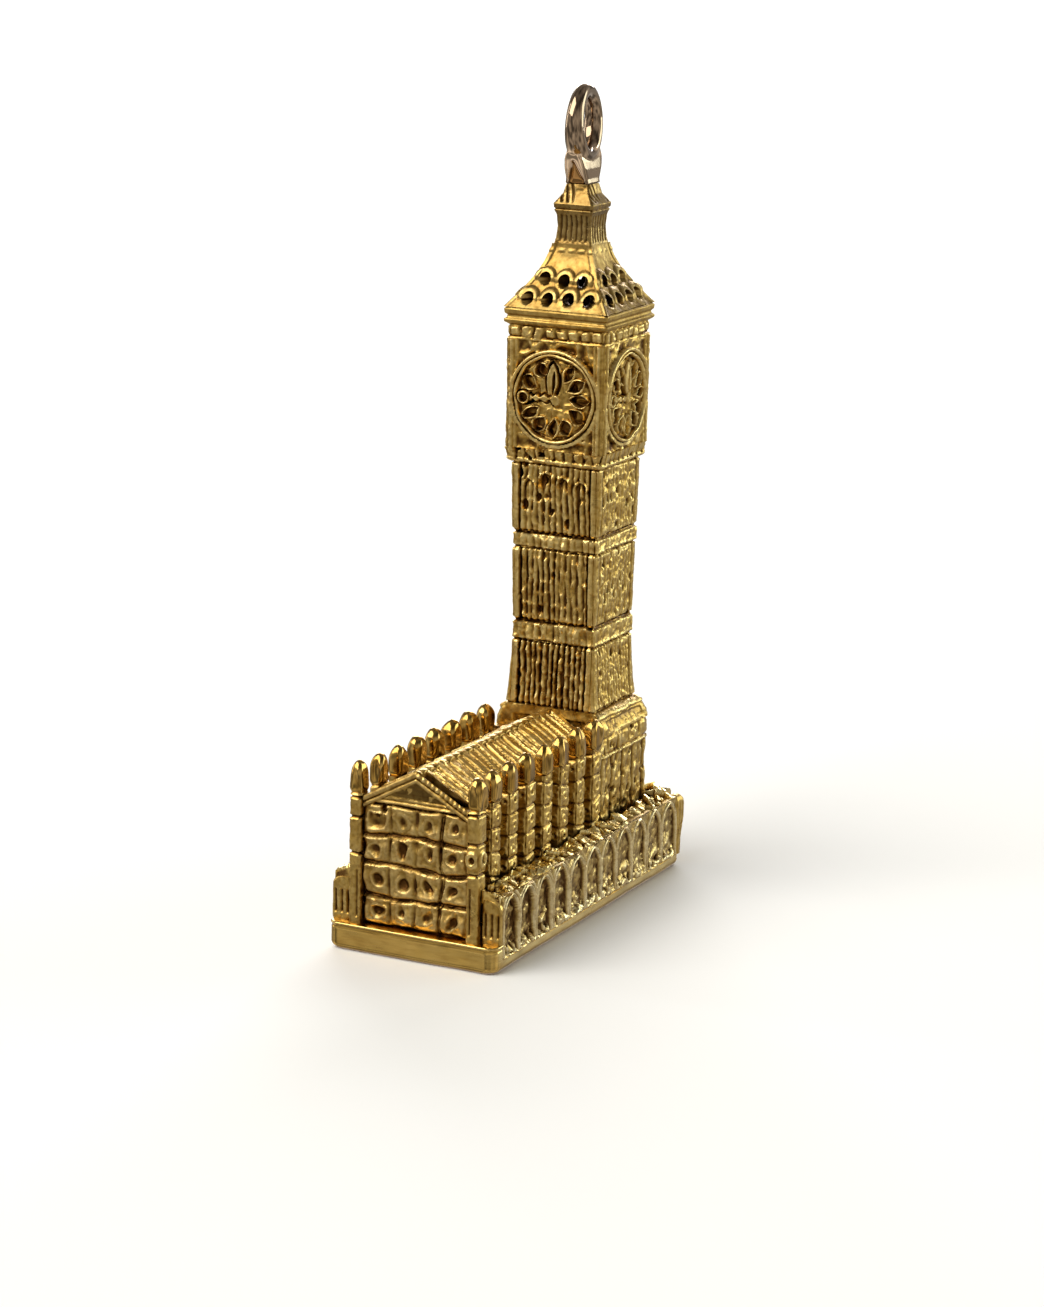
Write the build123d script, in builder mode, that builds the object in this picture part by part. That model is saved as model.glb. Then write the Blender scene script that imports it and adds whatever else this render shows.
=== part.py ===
"""A miniature clock tower and hall, cast in gold as a charm, in millimetres.

The frame: +Z up, +X to the right of the hall's gabled front, which faces -Y.
The origin is the middle of the flat underside of the base plate.

Every casting is hollow and meets its neighbours face to face, as pieces that
are soldered together do.  Nothing on the object moves.
"""
import os
from build123d import *

os.makedirs("parts", exist_ok=True)

SIDES = {"right": 1, "left": -1}

# Base plate
base_width = 8.6
base_length = 20.2
base_height = 1.3
base_corner_radius = 0.5
base_edge_radius = 0.3

# Arcades along the low aisles
aisle_width = 1.0
aisle_height = 1.9
arcade_thickness = 0.7
arcade_foot = 0.55
bay_count = 11
arch_width = 1.1
arch_recess = 0.35
arch_sill_height = 0.7
arch_rise = 0.8
arch_head_margin = 0.2

# Aisle ends and roofs, and the terrace behind the tower
aisle_front_setback = 0.6
aisle_end_thickness = 0.3
aisle_roof_edge = 0.2
aisle_roof_rise = 0.35
aisle_slot_count = 2
aisle_slot_width = 0.16
aisle_slot_depth = 0.12
rear_aisle_depth = 0.8
rear_wall_thickness = 0.6
rear_window_count = 5
rear_window_width = 0.6
rear_window_margin = 0.35
rear_pier_length = 0.71
rear_pier_overhang = 0.35
rear_pier_cap_height = 0.35
rear_pier_shoulder_height = 1.1

# Hall
hall_front_setback = 0.45
hall_front_thickness = 0.7
hall_wall_thickness = 0.6
hall_plinth_height = 2.4
hall_plinth_ledge = 0.7
hall_wall_height = 3.6
hall_roof_rise = 1.25
hall_ridge_flat = 0.4
hall_roof_thickness = 0.45
panel_columns = 4
panel_rows = 4
panel_gap = 0.32
panel_relief = 0.15
dimple_radius = 0.17
dimple_depth = 0.25
rake_width = 0.38
rake_relief = 0.1
gable_rise = 0.2
wall_groove_width = 0.24
rib_count = 21
rib_length = 0.26
rib_height = 0.08
crest_width = 0.2
crest_bar_height = 0.08
crest_bead_height = 0.16
crest_bead_radius = 0.14
crest_bead_count = 7

# Corner turrets, piers and pinnacles of the hall
turret_width = 0.66
turret_projection = 0.22
turret_height = 7.55
turret_dome_radius = 0.28
pier_count = 7
pier_width = 1.0
pier_projection = 0.55
pinnacle_width = 0.7
pinnacle_height = 1.5
pinnacle_dome = 0.35
stone_courses = 4
groove_height = 0.12
groove_depth = 0.08
boss_radius = 0.27
boss_height = 0.08

# Tower plinth and shaft
plinth_inset = 0.38
plinth_height = 6.3
plinth_wall = 1.05
plinth_panel_count = 3
plinth_panel_width = 1.1
plinth_panel_margin = 0.6
plinth_panel_depth = 0.12
shoulder_lip = 0.3
shoulder_height = 1.1
shaft_wall = 0.6
shaft_corner_radius = 0.25
lower_foot_half = 2.38
lower_half = 2.18
lower_height = 3.1
lower_course_height = 1.0
middle_half = 2.24
middle_height = 3.5
upper_course_height = 0.8
upper_half = 2.32
upper_height = 3.3
course_projection = 0.06
flute_count = 10
flute_width = 0.14
flute_depth = 0.12
flute_margin = 0.2

# Clock stage
corbel_height = 0.7
corbel_projection = 0.2
dentil_count = 8
dentil_width = 0.32
dentil_height = 0.4
dentil_relief = 0.08
clock_half = 2.5
clock_wall = 0.7
pilaster_width = 0.7
pilaster_relief = 0.1
dial_foot_margin = 0.3
dial_head_margin = 0.5
dial_side_margin = 0.35
dial_thickness = 0.3
dial_clearance = 0.03
dial_rim_width = 0.18
dial_rim_height = 0.12
petal_count = 12
petal_length = 0.75
petal_width = 0.42
petal_gap = 0.18
petal_height = 0.07
hand_width = 0.16
hand_height = 0.12
minute_hand_gap = 0.19
hour_hand_gap = 0.44
hub_radius = 0.26
frieze_height = 0.66
frieze_count = 8
frieze_square = 0.34
frieze_depth = 0.12

# Cornice, pierced roof, lantern, cap and bail
cornice_height = 0.84
cornice_projection = 0.12
cornice_step = 0.28
roof_eave_setback = 0.1
roof_height = 2.9
roof_top_half = 0.98
roof_hollowing = 1.55
roof_wall = 0.75
roof_hole_radius = 0.3
roof_hole_rows = ((4, 1.04, 0.5), (3, 0.96, 1.3))
lantern_inset = 0.04
lantern_waist = 0.06
lantern_wall = 0.38
lantern_height = 1.45
lantern_groove_count = 4
lantern_groove_width = 0.12
lantern_groove_depth = 0.1
cap_projection = 0.11
cap_moulding = 0.5
cap_height = 1.3
cap_neck_half = 0.57
bail_eye_radius = 1.15
bail_band_thickness = 0.7
bail_band_width = 0.9
bail_outer_round = 0.3
bail_eye_round = 0.2
bail_post_height = 0.95
bail_twist = 8

# Places across and along the base that follow from the sizes above
base_half_width = base_width / 2
base_front = -base_length / 2
base_rear = base_length / 2
arcade_inner = base_half_width - arcade_thickness
aisle_front = base_front + aisle_front_setback
arcade_front = aisle_front + aisle_end_thickness
arcade_rear = base_rear - rear_pier_length
bay_pitch = (arcade_rear - arcade_front) / bay_count
core_half = base_half_width - aisle_width
wall_outer = core_half - hall_plinth_ledge
wall_inner = wall_outer - hall_wall_thickness
tower_y = base_rear - rear_aisle_depth - core_half
plinth_half = core_half - plinth_inset
terrace_front = tower_y + core_half
hall_front = base_front + hall_front_setback
hall_back_of_front = hall_front + hall_front_thickness
hall_rear = tower_y - plinth_half
hall_length = hall_rear - hall_back_of_front
turret_inner = core_half - turret_width
turret_front = hall_front - turret_projection
turret_middle = turret_front + turret_width / 2
pier_pitch = (hall_rear - pier_width / 2 - turret_middle) / pier_count

# Heights that follow
arcade_top = base_height + aisle_height
roof_inner_top = arcade_top + aisle_roof_edge + aisle_roof_rise
hall_plinth_top = base_height + hall_plinth_height
hall_eaves = hall_plinth_top + hall_wall_height
hall_ridge = hall_eaves + hall_roof_rise
plinth_top = base_height + plinth_height
shoulder_top = plinth_top + shoulder_height
lower_top = shoulder_top + lower_height
lower_course_top = lower_top + lower_course_height
middle_top = lower_course_top + middle_height
upper_course_top = middle_top + upper_course_height
upper_top = upper_course_top + upper_height
corbel_top = upper_top + corbel_height
seat_radius = clock_half - dial_side_margin
dial_level = corbel_top + dial_foot_margin + seat_radius
clock_top = dial_level + seat_radius + dial_head_margin
frieze_top = clock_top + frieze_height
cornice_top = frieze_top + cornice_height
roof_top = cornice_top + roof_height
lantern_top = roof_top + lantern_height
cap_top = lantern_top + cap_height

# Sizes of the tower that fit its other sizes
shaft_bore_half = lower_half - shaft_wall
plinth_bore_half = plinth_half - plinth_wall
corbel_half = clock_half + pilaster_relief
clock_bore_half = clock_half - clock_wall
dial_radius = seat_radius - dial_clearance
cornice_half = corbel_half + cornice_projection
roof_eave_half = cornice_half - roof_eave_setback
lantern_half = roof_top_half - lantern_inset
lantern_waist_half = lantern_half - lantern_waist
lantern_bore_half = lantern_waist_half - lantern_wall
cap_half = lantern_half + cap_projection
bail_outer_radius = bail_eye_radius + bail_band_thickness
bail_centre = cap_top + bail_post_height + bail_outer_radius


def finish_piece(piece, name):
    """Name a finished piece and write its file."""
    piece.part.label = name
    export_step(piece.part, f"parts/{name}.step")


def box_between(x_ends, y_ends, z_ends, mode=Mode.ADD):
    """A block given by the two ends of each side."""
    size = [abs(ends[1] - ends[0]) for ends in (x_ends, y_ends, z_ends)]
    middle = [(ends[0] + ends[1]) / 2 for ends in (x_ends, y_ends, z_ends)]
    with Locations(tuple(middle)):
        Box(*size, mode=mode)


def square(half, height, corner_radius=0.0):
    """A square of the tower's plan at one height, as a sketch to extrude or loft."""
    with BuildSketch(Plane((0, tower_y, height))) as plan:
        if corner_radius > 0:
            RectangleRounded(2 * half, 2 * half, corner_radius)
        else:
            Rectangle(2 * half, 2 * half)
    return plan.sketch


def tower_face(side_angle, distance):
    """The upright plane at a distance from the tower's axis, facing outward on one side."""
    faces = Plane.XZ.rotated((0, 0, side_angle))
    middle = Vector(0, tower_y, 0) + faces.z_dir * distance
    return Plane(origin=middle, x_dir=faces.x_dir, z_dir=faces.z_dir)


def spread(count, pitch):
    """Evenly spaced places about zero."""
    return [(index - (count - 1) / 2) * pitch for index in range(count)]


FACE_ANGLES = {"front": 0, "right": 90, "back": 180, "left": 270}

# ---- Base plate: a polished slab with a rebate along each side for an arcade
with BuildPart() as base_plate:
    with BuildSketch():
        RectangleRounded(base_width, base_length, base_corner_radius)
    extrude(amount=base_height)
    fillet(base_plate.faces().sort_by(Axis.Z)[0].edges(), base_edge_radius)
    for sign in SIDES.values():
        box_between(
            (sign * arcade_inner, sign * (base_half_width + 1)),
            (arcade_front, base_rear + 1),
            (arcade_foot, base_height + 1),
            mode=Mode.SUBTRACT,
        )
finish_piece(base_plate, "base_plate")

# ---- Arcades: a row of blind pointed arches on each long side
arch_sill = arcade_foot + arch_sill_height
arch_apex = arcade_top - arch_head_margin
arch_spring = arch_apex - arch_rise
with BuildSketch() as arch_outline:
    with BuildLine():
        Polyline(
            (-arch_width / 2, arch_spring),
            (-arch_width / 2, arch_sill),
            (arch_width / 2, arch_sill),
            (arch_width / 2, arch_spring),
        )
        TangentArc((arch_width / 2, arch_spring), (0, arch_apex), tangent=(0, 1))
        TangentArc((-arch_width / 2, arch_spring), (0, arch_apex), tangent=(0, 1))
    make_face()

for side, sign in SIDES.items():
    with BuildPart() as arcade_wall:
        box_between(
            (sign * arcade_inner, sign * base_half_width),
            (arcade_front, arcade_rear),
            (arcade_foot, arcade_top),
        )
        outer_face = Plane((sign * base_half_width, 0, 0), x_dir=(0, sign, 0), z_dir=(sign, 0, 0))
        with BuildSketch(outer_face):
            for bay in range(bay_count):
                with Locations((sign * (arcade_front + (bay + 0.5) * bay_pitch), 0)):
                    add(arch_outline.sketch)
        extrude(amount=-arch_recess, mode=Mode.SUBTRACT)
    finish_piece(arcade_wall, f"arcade_wall_{side}")

# ---- Aisle ends: the front panels that close the aisles, with upright slots
for side, sign in SIDES.items():
    with BuildPart() as aisle_end:
        box_between(
            (sign * core_half, sign * base_half_width),
            (aisle_front, arcade_front),
            (base_height, arcade_top),
        )
        slot_middle = sign * (core_half + base_half_width) / 2
        for offset in spread(aisle_slot_count, 2 * aisle_slot_width):
            box_between(
                (slot_middle + offset - aisle_slot_width / 2, slot_middle + offset + aisle_slot_width / 2),
                (aisle_front - 1, aisle_front + aisle_slot_depth),
                (base_height + aisle_slot_width, arcade_top - 2 * aisle_slot_width),
                mode=Mode.SUBTRACT,
            )
    finish_piece(aisle_end, f"aisle_end_{side}")

# ---- Aisle roofs: lean-to slopes from the hall's plinth out over the arcades
for side, sign in SIDES.items():
    with BuildPart() as aisle_roof:
        with BuildSketch(Plane.XZ.offset(-aisle_front)):
            with BuildLine():
                Polyline(
                    (sign * core_half, arcade_top),
                    (sign * base_half_width, arcade_top),
                    (sign * base_half_width, arcade_top + aisle_roof_edge),
                    (sign * core_half, roof_inner_top),
                    close=True,
                )
            make_face()
        extrude(amount=aisle_front - arcade_rear)
    finish_piece(aisle_roof, f"aisle_roof_{side}")

# ---- Rear piers: the stout buttresses at the rear corners
for side, sign in SIDES.items():
    with BuildPart() as rear_pier:
        with BuildSketch(Plane.YZ.offset(sign * arcade_inner)):
            with BuildLine():
                Polyline(
                    (arcade_rear, arcade_foot),
                    (base_rear, arcade_foot),
                    (base_rear, base_height),
                    (base_rear + rear_pier_overhang, base_height + rear_pier_shoulder_height),
                    (base_rear + rear_pier_overhang, arcade_top),
                    (base_rear, arcade_top + rear_pier_cap_height),
                    (arcade_rear, arcade_top + rear_pier_cap_height),
                    close=True,
                )
            make_face()
        extrude(amount=sign * arcade_thickness)
    finish_piece(rear_pier, f"rear_pier_{side}")

# ---- Rear wall and terrace behind the tower
window_places = spread(rear_window_count, 2 * arcade_inner / (rear_window_count + 1))
with BuildPart() as rear_wall:
    box_between(
        (-arcade_inner, arcade_inner), (base_rear - rear_wall_thickness, base_rear), (base_height, arcade_top)
    )
    with BuildSketch(Plane.XZ.offset(-base_rear)):
        with Locations(*[(x, base_height + aisle_height / 2) for x in window_places]):
            Rectangle(rear_window_width, aisle_height - 2 * rear_window_margin)
    extrude(amount=arch_recess, mode=Mode.SUBTRACT)
finish_piece(rear_wall, "rear_wall")

with BuildPart() as rear_terrace:
    box_between((-core_half, core_half), (terrace_front, base_rear), (arcade_top, roof_inner_top))
    box_between((-arcade_inner, arcade_inner), (arcade_rear, base_rear), (arcade_top, roof_inner_top))
finish_piece(rear_terrace, "rear_terrace")

# ---- Hall front: a gabled plate with rows of raised squares, each with a dimple
gable_apex = hall_ridge + gable_rise
panel_pitch_x = 2 * turret_inner / panel_columns
panel_pitch_z = (hall_eaves - rake_width - base_height) / panel_rows
panel_places = [
    (x, base_height + (row + 0.5) * panel_pitch_z)
    for x in spread(panel_columns, panel_pitch_x)
    for row in range(panel_rows)
]
with BuildPart() as hall_front_wall:
    with BuildSketch(Plane.XZ.offset(-hall_front - panel_relief)):
        with BuildLine():
            Polyline(
                (-turret_inner, base_height),
                (turret_inner, base_height),
                (turret_inner, hall_eaves),
                (0, gable_apex),
                (-turret_inner, hall_eaves),
                close=True,
            )
        make_face()
    extrude(amount=panel_relief - hall_front_thickness)
    with BuildSketch(Plane.XZ.offset(-hall_front)):
        with Locations(*panel_places):
            Rectangle(panel_pitch_x - panel_gap, panel_pitch_z - panel_gap)
    extrude(amount=-panel_relief)
    with BuildSketch(Plane.XZ.offset(-hall_front)):
        with Locations(*panel_places):
            Circle(dimple_radius)
    extrude(amount=-dimple_depth, mode=Mode.SUBTRACT)
    with BuildSketch(Plane.XZ.offset(-hall_front + rake_relief)):
        with BuildLine():
            Polyline(
                (-turret_inner, hall_eaves),
                (0, gable_apex),
                (turret_inner, hall_eaves),
                (turret_inner, hall_eaves - rake_width),
                (0, gable_apex - rake_width),
                (-turret_inner, hall_eaves - rake_width),
                close=True,
            )
        make_face()
    extrude(amount=-rake_relief - panel_relief)
finish_piece(hall_front_wall, "hall_front")

# ---- Hall side walls: a stout plinth behind the aisle and a thinner wall above it
pier_places = [turret_middle + (index + 1) * pier_pitch for index in range(pier_count)]
for side, sign in SIDES.items():
    with BuildPart() as hall_side:
        box_between(
            (sign * wall_inner, sign * core_half),
            (hall_back_of_front, hall_rear),
            (base_height, hall_plinth_top),
        )
        box_between(
            (sign * wall_inner, sign * wall_outer),
            (hall_back_of_front, hall_rear),
            (hall_plinth_top, hall_eaves),
        )
        for place in pier_places:
            box_between(
                (sign * (wall_outer - groove_depth), sign * (wall_outer + 1)),
                (place - (pier_pitch + wall_groove_width) / 2, place - (pier_pitch - wall_groove_width) / 2),
                (hall_plinth_top + groove_height, hall_eaves - groove_height),
                mode=Mode.SUBTRACT,
            )
    finish_piece(hall_side, f"hall_side_{side}")

# ---- Piers with pinnacles: a row on each side, standing on the plinth
pier_face = wall_outer + pier_projection
pinnacle_top = hall_eaves + pinnacle_height
pinnacle_spring = pinnacle_top - pinnacle_dome
course_height = hall_wall_height / stone_courses
joint_levels = [hall_plinth_top + (index + 1) * course_height for index in range(stone_courses - 1)]
with BuildSketch() as pier_outline:
    with BuildLine():
        Polyline(
            (-pinnacle_width / 2, pinnacle_spring),
            (-pinnacle_width / 2, hall_eaves),
            (-pier_width / 2, hall_eaves),
            (-pier_width / 2, hall_plinth_top),
            (pier_width / 2, hall_plinth_top),
            (pier_width / 2, hall_eaves),
            (pinnacle_width / 2, hall_eaves),
            (pinnacle_width / 2, pinnacle_spring),
        )
        ThreePointArc(
            (pinnacle_width / 2, pinnacle_spring), (0, pinnacle_top), (-pinnacle_width / 2, pinnacle_spring)
        )
    make_face()

for side, sign in SIDES.items():
    with BuildPart() as hall_piers:
        for place in pier_places:
            with BuildSketch(Plane((sign * wall_outer, place, 0), x_dir=(0, 1, 0), z_dir=(1, 0, 0))):
                add(pier_outline.sketch)
            extrude(amount=sign * pier_projection)
            for level in joint_levels:
                box_between(
                    (sign * (pier_face - groove_depth), sign * (pier_face + 1)),
                    (place - pier_width, place + pier_width),
                    (level - groove_height / 2, level + groove_height / 2),
                    mode=Mode.SUBTRACT,
                )
    finish_piece(hall_piers, f"hall_piers_{side}")

# ---- Corner turrets of the hall front, with grooves and a round boss
boss_level = (joint_levels[0] + joint_levels[1]) / 2
for side, sign in SIDES.items():
    turret_x = sign * (core_half - turret_width / 2)
    with BuildPart() as corner_turret:
        box_between(
            (sign * turret_inner, sign * core_half),
            (turret_front, hall_back_of_front),
            (base_height, base_height + turret_height),
        )
        fillet(corner_turret.faces().sort_by(Axis.Z)[-1].edges(), turret_dome_radius)
        for level in joint_levels:
            box_between(
                (sign * turret_inner, sign * core_half),
                (turret_front - 1, turret_front + groove_depth),
                (level - groove_height / 2, level + groove_height / 2),
                mode=Mode.SUBTRACT,
            )
        with BuildSketch(Plane.XZ.offset(-turret_front)):
            with Locations((turret_x, boss_level)):
                Circle(boss_radius)
        extrude(amount=boss_height)
        with BuildSketch(Plane.XZ.offset(-turret_front + boss_height)):
            with Locations((turret_x, boss_level)):
                Circle(boss_radius / 3)
        extrude(amount=-2 * boss_height, mode=Mode.SUBTRACT)
    finish_piece(corner_turret, f"corner_turret_{side}")

# ---- Hall roof: a hollow gable with transverse ribs and a flat for the crest
ridge_half = hall_ridge_flat / 2
with BuildPart() as hall_roof:
    with BuildSketch(Plane.XZ.offset(-hall_back_of_front)):
        with BuildLine():
            Polyline(
                (-wall_outer, hall_eaves),
                (-ridge_half, hall_ridge),
                (ridge_half, hall_ridge),
                (wall_outer, hall_eaves),
                (wall_inner, hall_eaves),
                (0, hall_ridge - hall_roof_thickness),
                (-wall_inner, hall_eaves),
                close=True,
            )
        make_face()
    extrude(amount=-hall_length)
    for sign in SIDES.values():
        for index in range(rib_count):
            rib_start = hall_back_of_front + (index + 0.5) * hall_length / rib_count - rib_length / 2
            with BuildSketch(Plane.XZ.offset(-rib_start)):
                with BuildLine():
                    Polyline(
                        (sign * wall_outer, hall_eaves),
                        (sign * (wall_outer - rib_height), hall_eaves + 2 * rib_height),
                        (sign * (ridge_half + rib_height), hall_ridge),
                        (sign * ridge_half, hall_ridge),
                        close=True,
                    )
                make_face()
            extrude(amount=-rib_length)
finish_piece(hall_roof, "hall_roof")

# ---- Ridge crest: a bar along the ridge with beads
with BuildPart() as ridge_crest:
    box_between(
        (-crest_width / 2, crest_width / 2),
        (hall_back_of_front, hall_rear),
        (hall_ridge, hall_ridge + crest_bar_height),
    )
    for index in range(crest_bead_count):
        bead_y = hall_back_of_front + (index + 0.5) * hall_length / crest_bead_count
        with BuildSketch(Plane((0, bead_y, hall_ridge))):
            Circle(crest_bead_radius)
        extrude(amount=crest_bead_height)
finish_piece(ridge_crest, "ridge_crest")

# ---- Tower plinth: a foot behind the hall and the wide block above it
plinth_panels = spread(plinth_panel_count, 2 * plinth_half / (plinth_panel_count + 1))
with BuildPart() as tower_plinth:
    box_between(
        (-core_half, core_half), (hall_rear, terrace_front), (base_height, hall_plinth_top)
    )
    extrude(square(plinth_half, hall_plinth_top), amount=plinth_top - hall_plinth_top)
    extrude(square(plinth_bore_half, base_height), amount=plinth_top - base_height, mode=Mode.SUBTRACT)
    for angle in FACE_ANGLES.values():
        with BuildSketch(tower_face(angle, plinth_half)):
            with Locations(*[(x, (roof_inner_top + plinth_top) / 2) for x in plinth_panels]):
                Rectangle(plinth_panel_width, plinth_top - roof_inner_top - 2 * plinth_panel_margin)
        extrude(amount=-plinth_panel_depth, mode=Mode.SUBTRACT)
finish_piece(tower_plinth, "tower_plinth")

# ---- Plinth shoulder: the lip and slope between the plinth and the shaft
with BuildPart() as plinth_shoulder:
    extrude(square(plinth_half, plinth_top), amount=shoulder_lip)
    loft([square(plinth_half, plinth_top + shoulder_lip), square(lower_foot_half, shoulder_top)])
    extrude(square(shaft_bore_half, plinth_top), amount=shoulder_top - plinth_top, mode=Mode.SUBTRACT)
finish_piece(plinth_shoulder, "plinth_shoulder")


def shaft_stage(name, bottom, top, bottom_half, top_half):
    """A hollow square stage of the tower, with upright flutes on its four faces."""
    with BuildPart() as stage:
        loft([square(bottom_half, bottom, shaft_corner_radius), square(top_half, top, shaft_corner_radius)])
        extrude(square(shaft_bore_half, bottom), amount=top - bottom, mode=Mode.SUBTRACT)
        face_half = min(bottom_half, top_half)
        flute_places = spread(flute_count, 2 * (face_half - shaft_corner_radius) / flute_count)
        with BuildSketch(Plane((0, tower_y, bottom + flute_margin))):
            with PolarLocations(0, len(FACE_ANGLES)):
                with Locations(*[(face_half, y) for y in flute_places]):
                    Rectangle(2 * flute_depth, flute_width)
        extrude(amount=top - bottom - 2 * flute_margin, mode=Mode.SUBTRACT)
    finish_piece(stage, name)


def string_course(name, bottom, top, half):
    """A plain raised band between two stages of the shaft."""
    with BuildPart() as course:
        extrude(square(half + course_projection, bottom, shaft_corner_radius), amount=top - bottom)
        extrude(square(shaft_bore_half, bottom), amount=top - bottom, mode=Mode.SUBTRACT)
    finish_piece(course, name)


shaft_stage("shaft_lower", shoulder_top, lower_top, lower_foot_half, lower_half)
string_course("string_course_lower", lower_top, lower_course_top, lower_half)
shaft_stage("shaft_middle", lower_course_top, middle_top, lower_half, middle_half)
string_course("string_course_upper", middle_top, upper_course_top, middle_half)
shaft_stage("shaft_upper", upper_course_top, upper_top, middle_half, upper_half)

# ---- Corbel course: spreads from the shaft out to the clock stage, with dentils
dentil_places = spread(dentil_count, 2 * corbel_half / (dentil_count + 1))
with BuildPart() as corbel_course:
    loft([square(upper_half, upper_top), square(corbel_half, corbel_top)])
    extrude(square(shaft_bore_half, upper_top), amount=corbel_top - upper_top, mode=Mode.SUBTRACT)
    for angle in FACE_ANGLES.values():
        with BuildSketch(tower_face(angle, corbel_half - dentil_relief)):
            with Locations(*[(x, corbel_top - dentil_height / 2) for x in dentil_places]):
                Rectangle(dentil_width, dentil_height)
        extrude(amount=dentil_relief)
finish_piece(corbel_course, "corbel_course")

# ---- Clock stage: a hollow box with corner pilasters and a round seat for each dial
with BuildPart() as clock_stage:
    extrude(square(clock_half, corbel_top), amount=clock_top - corbel_top)
    corner = corbel_half - pilaster_width / 2
    with BuildSketch(Plane((0, tower_y, corbel_top))):
        with GridLocations(2 * corner, 2 * corner, 2, 2):
            Rectangle(pilaster_width, pilaster_width)
    extrude(amount=clock_top - corbel_top)
    extrude(square(clock_bore_half, corbel_top), amount=clock_top - corbel_top, mode=Mode.SUBTRACT)
    for angle in FACE_ANGLES.values():
        with BuildSketch(tower_face(angle, corbel_half)):
            with Locations((0, dial_level)):
                Circle(seat_radius)
        extrude(amount=-dial_thickness - pilaster_relief, mode=Mode.SUBTRACT)
finish_piece(clock_stage, "clock_stage")

# ---- Clock dials: a disc with a rim, twelve petal hour marks, a hub and two hands
dial_inner_radius = dial_radius - dial_rim_width
petal_orbit = dial_inner_radius - petal_gap - petal_length / 2
minute_hand_length = dial_inner_radius - minute_hand_gap
hour_hand_length = dial_inner_radius - hour_hand_gap
for side, angle in FACE_ANGLES.items():
    seat = tower_face(angle, clock_half - dial_thickness)
    dial_centre = seat.origin + seat.z_dir * dial_thickness + Vector(0, 0, dial_level)
    dial_face = Plane(origin=dial_centre, x_dir=seat.x_dir, z_dir=seat.z_dir)
    with BuildPart() as clock_dial:
        with BuildSketch(dial_face):
            Circle(dial_radius)
        extrude(amount=-dial_thickness)
        with BuildSketch(dial_face):
            Circle(dial_radius)
            Circle(dial_inner_radius, mode=Mode.SUBTRACT)
        extrude(amount=dial_rim_height)
        with BuildSketch(dial_face):
            with PolarLocations(petal_orbit, petal_count, start_angle=90):
                Ellipse(petal_length / 2, petal_width / 2)
        extrude(amount=petal_height)
        with BuildSketch(dial_face):
            Circle(hub_radius)
            with Locations((0, minute_hand_length / 2)):
                Rectangle(hand_width, minute_hand_length)
            with Locations((-hour_hand_length / 2, 0)):
                Rectangle(hour_hand_length, hand_width)
        extrude(amount=hand_height)
    finish_piece(clock_dial, f"clock_dial_{side}")

# ---- Frieze: a band with a row of small sunk squares
with BuildPart() as frieze:
    extrude(square(corbel_half, clock_top), amount=frieze_top - clock_top)
    extrude(square(clock_bore_half, clock_top), amount=frieze_top - clock_top, mode=Mode.SUBTRACT)
    for angle in FACE_ANGLES.values():
        with BuildSketch(tower_face(angle, corbel_half)):
            with Locations((0, (clock_top + frieze_top) / 2)):
                with GridLocations(2 * corbel_half / (frieze_count + 1), 0, frieze_count, 1):
                    Rectangle(frieze_square, frieze_square)
        extrude(amount=-frieze_depth, mode=Mode.SUBTRACT)
finish_piece(frieze, "frieze")

# ---- Cornice: a neck, then a wider double moulding under the roof
with BuildPart() as cornice:
    extrude(square(corbel_half, frieze_top), amount=cornice_top - frieze_top)
    extrude(square(cornice_half, frieze_top + cornice_step / 2), amount=cornice_step)
    extrude(square(cornice_half, cornice_top - cornice_step), amount=cornice_step)
    extrude(square(clock_bore_half, frieze_top), amount=cornice_top - frieze_top, mode=Mode.SUBTRACT)
finish_piece(cornice, "cornice")

# ---- Tower roof: a hollow pyramid with hollowed slopes, pierced on each side
roof_stations = [index / 4 for index in range(5)]
roof_spread = roof_eave_half - roof_top_half
roof_profile = [
    (cornice_top + roof_height * share, roof_top_half + roof_spread * (1 - share) ** roof_hollowing)
    for share in roof_stations
]
roof_holes = [(x, cornice_top + rise) for count, pitch, rise in roof_hole_rows for x in spread(count, pitch)]
with BuildPart() as tower_roof:
    loft([square(half, height) for height, half in roof_profile])
    loft([square(half - roof_wall, height) for height, half in roof_profile], mode=Mode.SUBTRACT)
    for angle in FACE_ANGLES.values():
        with BuildSketch(tower_face(angle, roof_eave_half)):
            with Locations(*roof_holes):
                Circle(roof_hole_radius)
        extrude(amount=-roof_eave_half, mode=Mode.SUBTRACT)
finish_piece(tower_roof, "tower_roof")

# ---- Lantern: a hollow, slightly waisted box with upright grooves
lantern_grooves = spread(lantern_groove_count, 2 * lantern_waist_half / (lantern_groove_count + 1))
with BuildPart() as lantern:
    waist = (roof_top + lantern_top) / 2
    loft(
        [
            square(lantern_half, roof_top),
            square(lantern_waist_half, waist),
            square(lantern_half, lantern_top),
        ]
    )
    extrude(square(lantern_bore_half, roof_top), amount=lantern_height, mode=Mode.SUBTRACT)
    with BuildSketch(Plane((0, tower_y, roof_top + flute_margin))):
        with PolarLocations(0, len(FACE_ANGLES)):
            with Locations(*[(lantern_half, y) for y in lantern_grooves]):
                Rectangle(2 * (lantern_groove_depth + lantern_waist), lantern_groove_width)
    extrude(amount=lantern_height - 2 * flute_margin, mode=Mode.SUBTRACT)
finish_piece(lantern, "lantern")

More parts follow.
